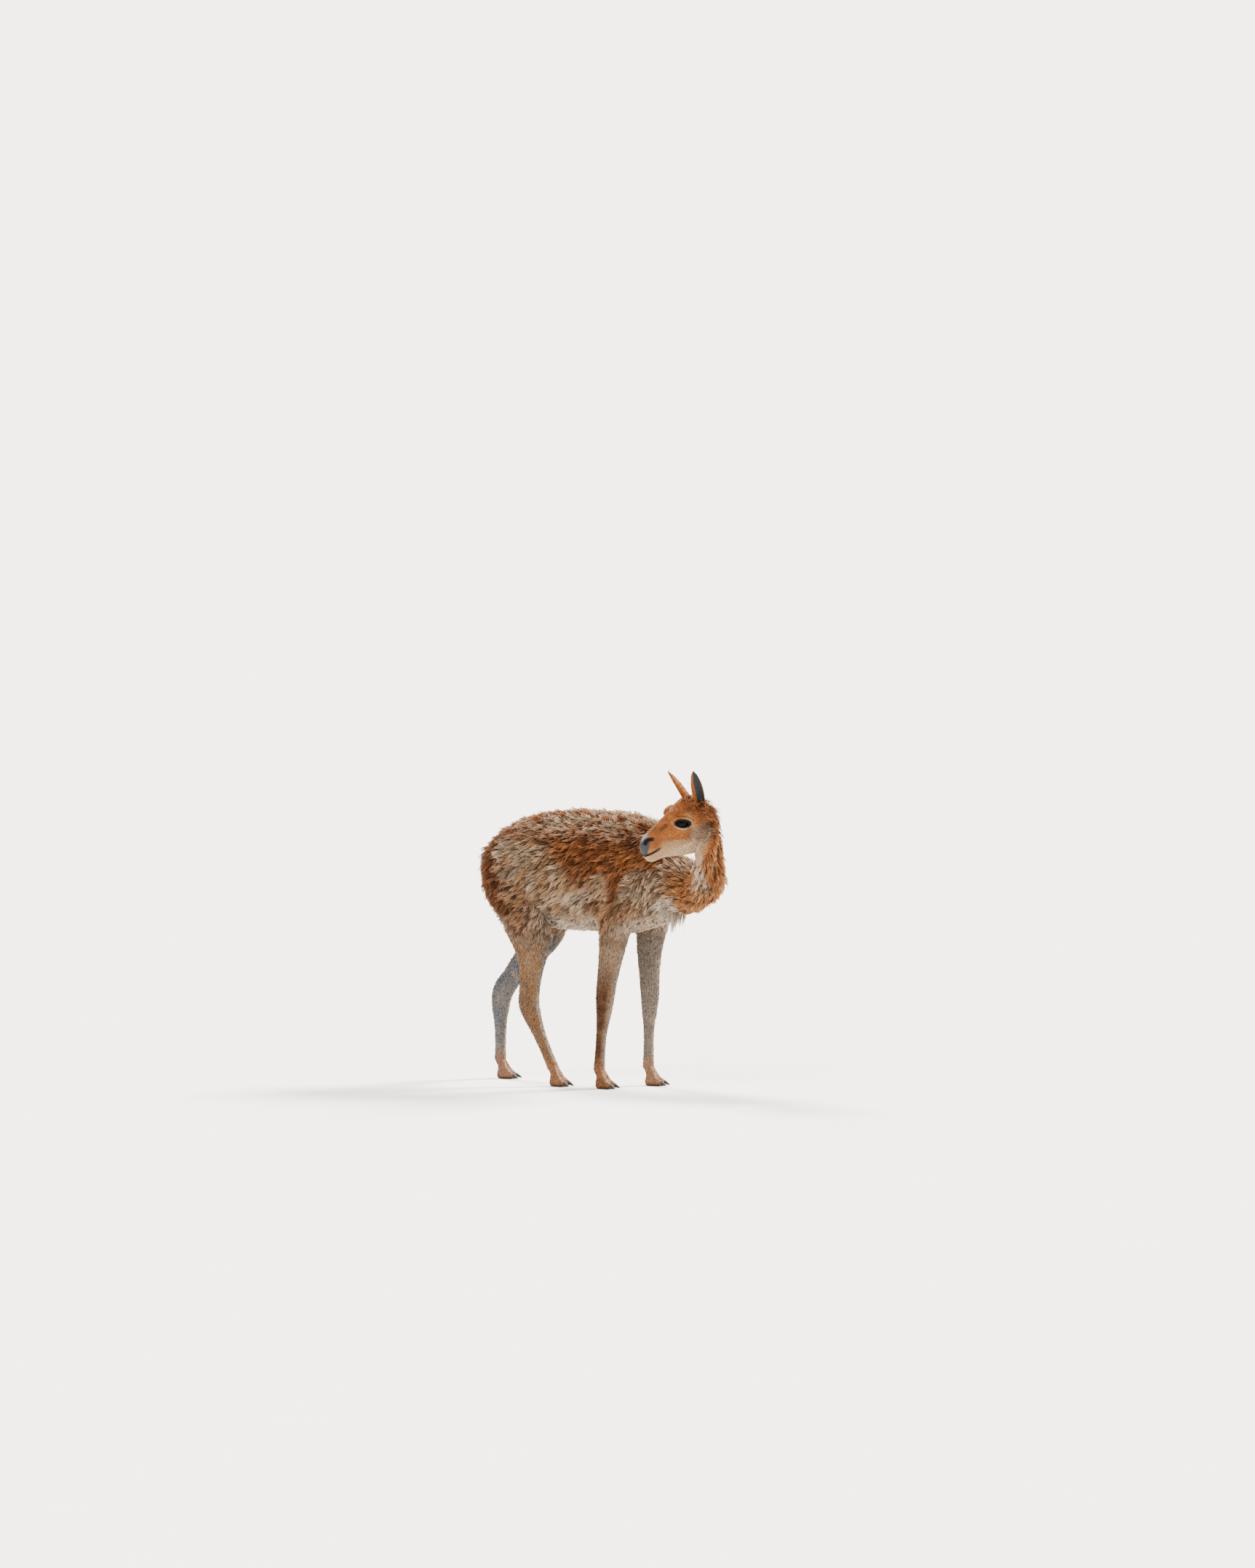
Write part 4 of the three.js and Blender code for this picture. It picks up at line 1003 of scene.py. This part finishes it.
def tuft_mesh(steps, middle, side, up, width, height):
    """Three-sided tufts along middle lines, each closed at its root and pointed at its tip: their points,
    and the faces of one."""
    count, rings = len(middle), len(steps) - 1
    ring = np.stack([
        middle[:, :-1] - side * width[..., None], middle[:, :-1] + up * height[..., None],
        middle[:, :-1] + side * width[..., None],
    ], 2).reshape(count, rings * 3, 3)
    points = np.concatenate([ring, middle[:, -1:]], 1)
    faces = [(0, 1, 2)]
    for i in range(rings - 1):
        for j in range(3):
            a, b = 3 * i + j, 3 * i + (j + 1) % 3
            faces += [(a, a + 3, b), (b, a + 3, b + 3)]
    tip = rings * 3
    faces += [(tip - 3 + j, tip, tip - 3 + (j + 1) % 3) for j in range(3)]
    return points, np.array(faces)


DARKER = np.array([0.3, 0.24, 0.2])  # what dark hair's colour, and a tuft's painted shade at its root, is multiplied by
LIGHTER, LIGHT_ADDED = 1.35, np.array([0.10, 0.075, 0.05])  # light hair, and what is added to it
ROOT_SHADE = 0.4  # how dark each tuft is at its root: painted shade down among the tufts
HAIRS = (3.4, 0.9)  # how many streaks run side by side in a tuft, and how broken they are along it
NEXT_TUFT = (7.3, 3.1)  # how far apart two tufts lie in the pattern of streaks
HALF_PATCH = 0.0015  # half of a tuft's patch on the bake map


def coat_piece(name, points, tuft_faces, steps, colours, places, tuft_tone, material):
    """A joined mesh of tufts, with their colours, hair streaks and bake map."""
    count, size = points.shape[:2]
    faces = (tuft_faces[None] + size * np.arange(count)[:, None, None]).reshape(-1, 3)
    vertices = np.clip((points.reshape(-1, 3) + MIDDLE) * MM, BOX_LOW, BOX_HIGH)
    mesh = bpy.data.meshes.new(name)
    mesh.vertices.add(len(vertices))
    mesh.vertices.foreach_set("co", vertices.astype(np.float32).ravel())
    mesh.loops.add(faces.size)
    mesh.loops.foreach_set("vertex_index", faces.astype(np.int32).ravel())
    mesh.polygons.add(len(faces))
    mesh.polygons.foreach_set("loop_start", np.arange(0, faces.size, 3, dtype=np.int32))
    mesh.update(calc_edges=True)
    share = np.append(np.repeat(steps[:-1], 3), 1.0)
    across = np.append(np.tile([-1.0, 0.0, 1.0], len(steps) - 1), 0.0)
    # Dark: a tuft's own darker tone, plus painted shade that deepens towards its root.
    dark = np.clip(-tuft_tone, 0, 1)[:, None] * 0.75 + ROOT_SHADE * (1 - share[None, :]) ** 1.5
    light = np.clip(tuft_tone, 0, 1)[:, None] * share[None, :] ** 0.7
    full = np.repeat(colours[:, None], size, 1)
    full = mixed(full, full * DARKER, np.clip(dark, 0, 1))
    full = mixed(full, full * LIGHTER + LIGHT_ADDED, light)
    paint(mesh, np.clip(full, 0, 1).reshape(-1, 3))
    number = np.arange(count)[:, None]
    strand = np.empty((count, size, 3))
    strand[..., 0] = across * HAIRS[0] + number * NEXT_TUFT[0]
    strand[..., 1] = share * HAIRS[1]
    strand[..., 2] = number * NEXT_TUFT[1]
    layer = mesh.attributes.new("strand", "FLOAT_VECTOR", "POINT")
    layer.data.foreach_set("vector", strand.astype(np.float32).ravel())
    patch = np.stack([across, 2 * share - 1], 1) * HALF_PATCH
    bake = mesh.uv_layers.new(name="OFBake")
    spots = (places[:, None] + patch).reshape(-1, 2)[faces.ravel()]
    bake.data.foreach_set("uv", spots.astype(np.float32).ravel())
    mesh.materials.append(material)
    mesh.shade_smooth()
    piece = link(name, mesh)
    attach(piece, "root")


def unwrapped(points, place):
    """Each place on the skin laid flat: along the part that it is on, and round it."""
    head, station, leg = place.head, place.station, place.leg
    flat = np.stack([points[:, 0], np.arctan2(points[:, 2] - 710, np.abs(points[:, 1]) + 20)], 1)
    neck = np.stack([station.astype(float), round_neck(points, place)[0]], 1)
    rest = points[:, :2] - place.centre
    shank = np.stack([points[:, 2], np.arctan2(rest[:, 1], rest[:, 0])], 1)
    face = np.stack([head[:, 0] + 0.35 * head[:, 2], np.arctan2(head[:, 1], head[:, 2] + 25)], 1)
    flat = np.where((leg > 0)[:, None], shank, flat)
    flat = np.where(place.on_neck[:, None], neck, flat)
    return np.where(place.on_head[:, None], face, flat)


def part_names(points, place):
    """The name of the part of the coat that each place belongs to."""
    side = np.where(points[:, 1] > 0, "left", "right")
    trunk = np.select(
        [points[:, 0] > 200, points[:, 0] > 60, points[:, 0] > -80, points[:, 0] > -200],
        ["chest", "shoulder", "barrel", "flank"], "rump")
    names = np.char.add(np.char.add(trunk, "_"), side)
    tail = (np.abs(points[:, 1]) < 40) & (points[:, 0] < -322) & (points[:, 2] < 760)
    names = np.where(tail, "tail", names)
    for number, name in enumerate(LEGS, 1):
        names = np.where(place.leg == number, name, names)
    names = np.where(place.on_neck, np.where(place.station < 24, "neck_base", "neck"), names)
    return np.where(place.on_head, np.where(place.head[:, 1] > 0, "head_left", "head_right"), names)


def locks(points, spacing):
    """Gathers tufts in locks: for each tuft the one at its lock's middle, and its lock's number."""
    centres = np.unique(cells(points, spacing), return_index=True)[1]
    tree = KDTree(len(centres))
    for i, c in enumerate(centres):
        tree.insert(points[c], i)
    tree.balance()
    mine = np.array([tree.find(p)[1] for p in points])
    return centres[mine], mine


CURLS = 8.5  # how far a tuft's wave turns from root to tip
LEAN = 0.55  # how far a tuft's tip leans to the middle of its lock
OWN_LIE = 0.6  # how much of its own lie a tuft keeps, the rest is that of its lock
TUFT_TONE, LOCK_TONE = 0.3, 0.9  # how much the tufts of one lock, and the locks, differ in tone
TUFT_LENGTH, LOCK_LENGTH = 0.15, 0.18  # the same for length
LENGTHS = (0.6, 1.4)  # the least and the most of the usual length
ROOT_DEPTH = 1.2  # how deep a long tuft's root is sunk
TAPER = [0.75, 1, 0.85, 0.5, 0]  # width at each of the long steps
FLATNESS = 0.8  # a tuft's height, as a share of its half width


def grow(prefix, spacing, wanted, sizes, steps, material, mottle, lock, hang=0.0):
    """Grows one kind of hair wherever wanted says. sizes gives each tuft's length, half width, lift,
    curl and swirl. Mottle is how much light and dark tufts differ. Tufts gather in locks of the size
    of lock, and hang says how far they fall freely."""
    points, normals = scatter(spacing, lambda p: wanted(p, where_is(p)))
    place = where_is(points)
    count = len(points)
    length, wide, lift, curl, turn = (np.broadcast_to(v, count).copy() for v in sizes(points, normals, place))
    lie = mixed(lie_of(points, normals, place), np.array([0, 0, -1.0]), np.full(count, hang))
    lie = unit(lie - (1 - hang) * (lie * normals).sum(1, keepdims=True) * normals)
    swirl = turn * (ripple(points, 24, 20) + 0.5 * random.normal(size=count))
    side = unit(np.cross(normals, lie))
    lie = lie * np.cos(swirl)[:, None] + side * np.sin(swirl)[:, None]
    side = np.cross(normals, lie)
    wave = ripple(points, 34, 21) * 3 + random.normal(size=count)
    tone = TUFT_TONE * random.normal(size=count)
    root, number = locks(points, lock)
    numbers = number.max() + 1
    tone += (LOCK_TONE * random.normal(size=numbers))[number]
    lift *= np.clip(1 + 0.3 * tone, 0.5, 1.5)
    length *= np.clip(1 + LOCK_LENGTH * random.normal(size=numbers), *LENGTHS)[number]
    wave += random.uniform(0, 2 * math.pi, numbers)[number]
    lie = unit(OWN_LIE * lie + (1 - OWN_LIE) * lie[root])
    pull = points[root] - points
    pull -= (pull * normals).sum(1, keepdims=True) * normals
    length *= np.clip(1 + TUFT_LENGTH * random.normal(size=count), *LENGTHS)
    t = steps[None, :, None]
    sunk = np.minimum(ROOT_DEPTH, 0.09 * length)[:, None]
    angle = wave[:, None, None] + t * CURLS
    rise = np.sin(np.minimum(t * 1.9, 2.3)) * (length * lift)[:, None, None]
    rise = rise + (np.cos(angle) - np.cos(wave)[:, None, None]) * curl[:, None, None] * 0.35 * t
    bend = (np.sin(angle) - np.sin(wave)[:, None, None]) * curl[:, None, None] * t ** 0.5
    middle = (points - normals * sunk)[:, None] + lie[:, None] * (length[:, None, None] * t)
    middle = middle + normals[:, None] * rise + side[:, None] * bend + pull[:, None] * (LEAN * t ** 1.3)
    width = wide[:, None] * np.interp(steps[:-1], LONG_STEPS, TAPER)
    mesh_points, faces = tuft_mesh(steps, middle, side[:, None], normals[:, None], width, width * FLATNESS)
    colours = np.clip(markings_and_shade(points, normals, place), 0, 1)
    names = part_names(points, place)
    flat = unwrapped(points, place)
    for name in np.unique(names):
        mine = np.flatnonzero(names == name)
        spots = flat[mine]
        low, span = spots.min(0), np.maximum(np.ptp(spots, axis=0), 1e-6)
        spots = 0.01 + 0.98 * (spots - low) / span
        coat_piece(f"{prefix}_{name}", mesh_points[mine], faces, steps, colours[mine], spots,
                   mottle * tone[mine], material)


def in_wool(points, place):
    return (wool_depth(points, place) > 0.15) & (parting_mask(points, place) < 0.5)


def fleece_sizes(points, normals, place):
    """Curled on the back, longer and wavy on the sides, finer on the neck, tail and crown."""
    wool = wool_depth(points, place)
    back = fade(800, 880, points[:, 2])
    length = 9 + (16 - 4 * back) * wool
    flank = fade(140, 40, points[:, 0]) * fade(-160, -60, points[:, 0]) * fade(760, 660, points[:, 2])
    length += 7 * flank * wool
    length = np.where(place.on_neck, 22, length)
    length = np.where(place.on_head, 6 + 14 * wool, length)
    under = fade(0.1, -0.6, normals[:, 2]) * fade(640, 560, points[:, 2])
    wide = (0.75 + 0.7 * wool) * np.where(place.on_head, 0.75, 1)
    turn = np.where(place.on_neck | place.on_head, 0.2, 0.35 + 0.55 * back)
    lift = 0.16 + 0.28 * wool - 0.1 * under
    return length * (1 - 0.35 * under), wide, lift, (1.8 + 1.0 * back) * wool, turn


def on_leg(points, place):
    return (wool_depth(points, place) < 0.45) & ~place.on_head & (points[:, 2] > 8)


def leg_sizes(points, normals, place):
    length = np.interp(points[:, 2], [0, 100, 300, 420, 540], [5, 7, 9, 12, 17])
    return length, 0.95, 0.17, 0.4, 0.3


def on_face(points, place):
    head = place.head
    nose = (head[:, 0] > nose_front(head[:, 2])) & (head[:, 2] > -46)
    to_x, to_z = head[:, 0] - EYE_OPENING[0], head[:, 2] - EYE_OPENING[1]
    eye = np.hypot(to_x / (EYE_LONG + 3), to_z / (EYE_HIGH + 4)) < 1
    return place.on_head & (wool_depth(points, place) < 0.5) & ~nose & ~eye & (head[:, 0] < 146)


def face_sizes(points, normals, place):
    head = place.head
    length = np.interp(head[:, 0], [-90, -30, 60, 140], [11, 8, 5, 3])
    share, _ = ear_share(head)
    return np.where(share > 0, 6, length), 0.6, np.where(share > 0, 0.1, 0.15), 0.2, 0.2


def on_chest(points, place):
    front = (points[:, 0] > 328) & (points[:, 0] < 374) & (np.abs(points[:, 1]) < 36)
    return front & (points[:, 2] < 626)


def bib_sizes(points, normals, place):
    """The long white hair that hangs from the chest."""
    length = 62 - 0.5 * np.abs(points[:, 1]) - 10 * ripple(points, 30, 28)
    return length, 1.5, 0.02, 2.2, 0.1


LASHES = 44  # on each upper lid


def grow_lashes(side_name, side):
    """A fringe of dark lashes along the upper lid."""
    line = smooth(lid_points(side, 0.8), 90)[12:80]
    random.shuffle(line)
    line = line[:LASHES]
    count = len(line)
    length = random.uniform(7, 11, count)[:, None, None]
    out = unit(np.stack([(line[:, 0] - EYE_AT[0]) * 0.02, np.full(count, side * 1.0), np.full(count, -0.25)], 1))
    t = LONG_STEPS[None, :, None]
    path = line[:, None] + out[:, None] * t * length + np.array([0, 0, -0.45]) * length * t ** 2
    middle = from_head(path.reshape(-1, 3)).reshape(path.shape)
    across = unit(np.cross(out, np.array([0, 0, 1.0]))) @ HEAD_BASIS.T
    up = np.cross(across, unit(out @ HEAD_BASIS.T))
    width = 0.45 * np.ones((count, 1)) * np.array([1, 0.9, 0.7, 0.45])
    points, faces = tuft_mesh(LONG_STEPS, middle, across[:, None], up[:, None], width, width)
    spots = np.stack([np.linspace(0.05, 0.95, count), np.full(count, 0.5)], 1)
    coat_piece(f"lashes_{side_name}", points, faces, LONG_STEPS, np.tile(NEAR_BLACK, (count, 1)), spots,
               np.zeros(count), LASH)


for side_name, side in SIDES.items():
    grow_lashes(side_name, side)
grow("fleece", 4.6, in_wool, fleece_sizes, LONG_STEPS, WOOL, mottle=0.85, lock=13.0)
grow("bib", 5.0, on_chest, bib_sizes, LONG_STEPS, WOOL, mottle=0.4, lock=14.0, hang=0.9)
grow("hair", 4.3, on_leg, leg_sizes, SHORT_STEPS, SHORT_HAIR, mottle=0.55, lock=11.0)
grow("face_hair", 2.8, on_face, face_sizes, SHORT_STEPS, SHORT_HAIR, mottle=0.35, lock=7.0)


# The eyes and nails

def eye_material():
    material, tree, shader = new_material("wet_eye", Roughness=0.12, **{"Specular IOR Level": 0.1})
    cloud = node(tree, "ShaderNodeTexNoise", Scale=180.0, Detail=4.0)
    colour = two_tones(tree, cloud, (0.0025, 0.002, 0.002), (0.012, 0.006, 0.004))
    tree.links.new(colour, shader.inputs["Base Color"])
    return material


def nail_material():
    material, tree, shader = new_material("dark_horn", Roughness=0.42)
    rings = node(tree, "ShaderNodeTexWave", Scale=260.0, Distortion=3.0, Detail=2.0)
    colour = two_tones(tree, rings, (0.018, 0.015, 0.013), (0.075, 0.06, 0.048))
    bump = node(tree, "ShaderNodeBump", Strength=0.3, Distance=0.0005)
    tree.links.new(colour, shader.inputs["Base Color"])
    tree.links.new(rings.outputs["Fac"], bump.inputs["Height"])
    tree.links.new(bump.outputs["Normal"], shader.inputs["Normal"])
    return material


def finished(piece, material, slot_name, *nodes):
    """Gives a piece its material and smooth shading, hangs it from the root and hides the parts that it takes the
    place of.
    """
    piece.data.materials.clear()
    piece.data.materials.append(material)
    piece.data.shade_smooth()
    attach(piece, "root")
    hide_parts(*nodes)


EYE_WET = eye_material()
for side_name, side in SIDES.items():
    centre = (EYE_AT[0], side * EYE_AT[1], EYE_AT[2])
    globe = solid([from_head(ball(centre, (EYE_RADIUS - 0.3,) * 3, rings=40, sides=64))], f"eyeball_{side_name}")
    finished(globe, EYE_WET, "eye", f"eye_{side_name}")

HORN = nail_material()
for leg_name in LEGS:
    kind, leg_side = leg_name.split("_")
    for toe_side, across in SIDES.items():
        shape = toe_shape(leg_name, NAIL, across, rings=24, sides=20)
        claw = solid([shape], f"nail_{leg_name}_{toe_side}")
        finished(claw, HORN, "nail", f"{kind}_nail_{leg_side}_{toe_side}")

flesh = [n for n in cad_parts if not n.startswith("eye_") and "_nail_" not in n]
finished(skin, SKIN, "face_fur", *flesh)


# The floor, light and camera

def floor_material():
    material, tree, shader = new_material("pale_floor", Roughness=0.8)
    grain = node(tree, "ShaderNodeTexNoise", Scale=3.0, Detail=4.0)
    colour = two_tones(tree, grain, (0.62, 0.61, 0.59), (0.68, 0.67, 0.65))
    tree.links.new(colour, shader.inputs["Base Color"])
    return material


FLOOR_RADIUS = 600  # in metres, so that its edge is out of sight
bpy.ops.mesh.primitive_circle_add(radius=FLOOR_RADIUS, vertices=96, fill_type="NGON")
floor = bpy.context.object
floor.name = "floor"
floor.data.materials.append(floor_material())

world = bpy.data.worlds.new("studio")
bpy.context.scene.world = world
world.use_nodes = True
world.node_tree.nodes["Background"].inputs["Color"].default_value = (0.92, 0.95, 1.0, 1)
world.node_tree.nodes["Background"].inputs["Strength"].default_value = 0.55


def soft_light(name, azimuth, elevation, width, power, colour):
    """An even light from one side, as soft as its width in degrees."""
    data = bpy.data.lights.new(name, "SUN")
    data.angle = math.radians(width)
    data.energy = power
    data.color = colour
    lamp = link(name, data)
    lamp.rotation_mode = "QUATERNION"
    lamp.rotation_quaternion = (-way_from(azimuth, elevation)).to_track_quat("-Z", "Y")


for light in (
    # name, azimuth, elevation, width, power, colour
    ("key", -5, 45, 27, 2.4, (1.0, 0.97, 0.92)),
    ("rim_right", 150, 40, 18, 12.0, (1.0, 0.97, 0.9)),
    ("rim_left", 240, 48, 18, 8.5, (1.0, 0.97, 0.9)),
    ("fill", 75, 20, 30, 0.5, (0.92, 0.96, 1.0)),
):
    soft_light(*light)


# The photograph's view: from which way and how far off, and the point in its middle, in metres
CAMERA_AZIMUTH, CAMERA_ELEVATION, CAMERA_DISTANCE = 30, 4, 60.0
AIM_ACROSS, AIM_UP = 0.139, 0.986
LENS = 420.9


def photo_camera():
    a, e = math.radians(CAMERA_AZIMUTH), math.radians(CAMERA_ELEVATION)
    across = Vector((math.cos(a), math.sin(a), 0))
    way = way_from(CAMERA_AZIMUTH, CAMERA_ELEVATION)
    aim = Vector(MIDDLE * MM) + across * AIM_ACROSS + Vector((0, 0, AIM_UP / math.cos(e)))
    data = bpy.data.cameras.new("photo_camera")
    data.lens = LENS
    data.sensor_width = 36
    data.sensor_fit = "AUTO"
    data.clip_end = CAMERA_DISTANCE + 2 * FLOOR_RADIUS
    camera = link("photo_camera", data)
    camera.location = aim + way * CAMERA_DISTANCE
    camera.rotation_mode = "QUATERNION"
    camera.rotation_quaternion = (-way).to_track_quat("-Z", "Y")
    bpy.context.scene.camera = camera


photo_camera()
settings = bpy.context.scene.view_settings
settings.view_transform = "AgX"
settings.look = "AgX - Medium High Contrast"
settings.exposure = -0.3
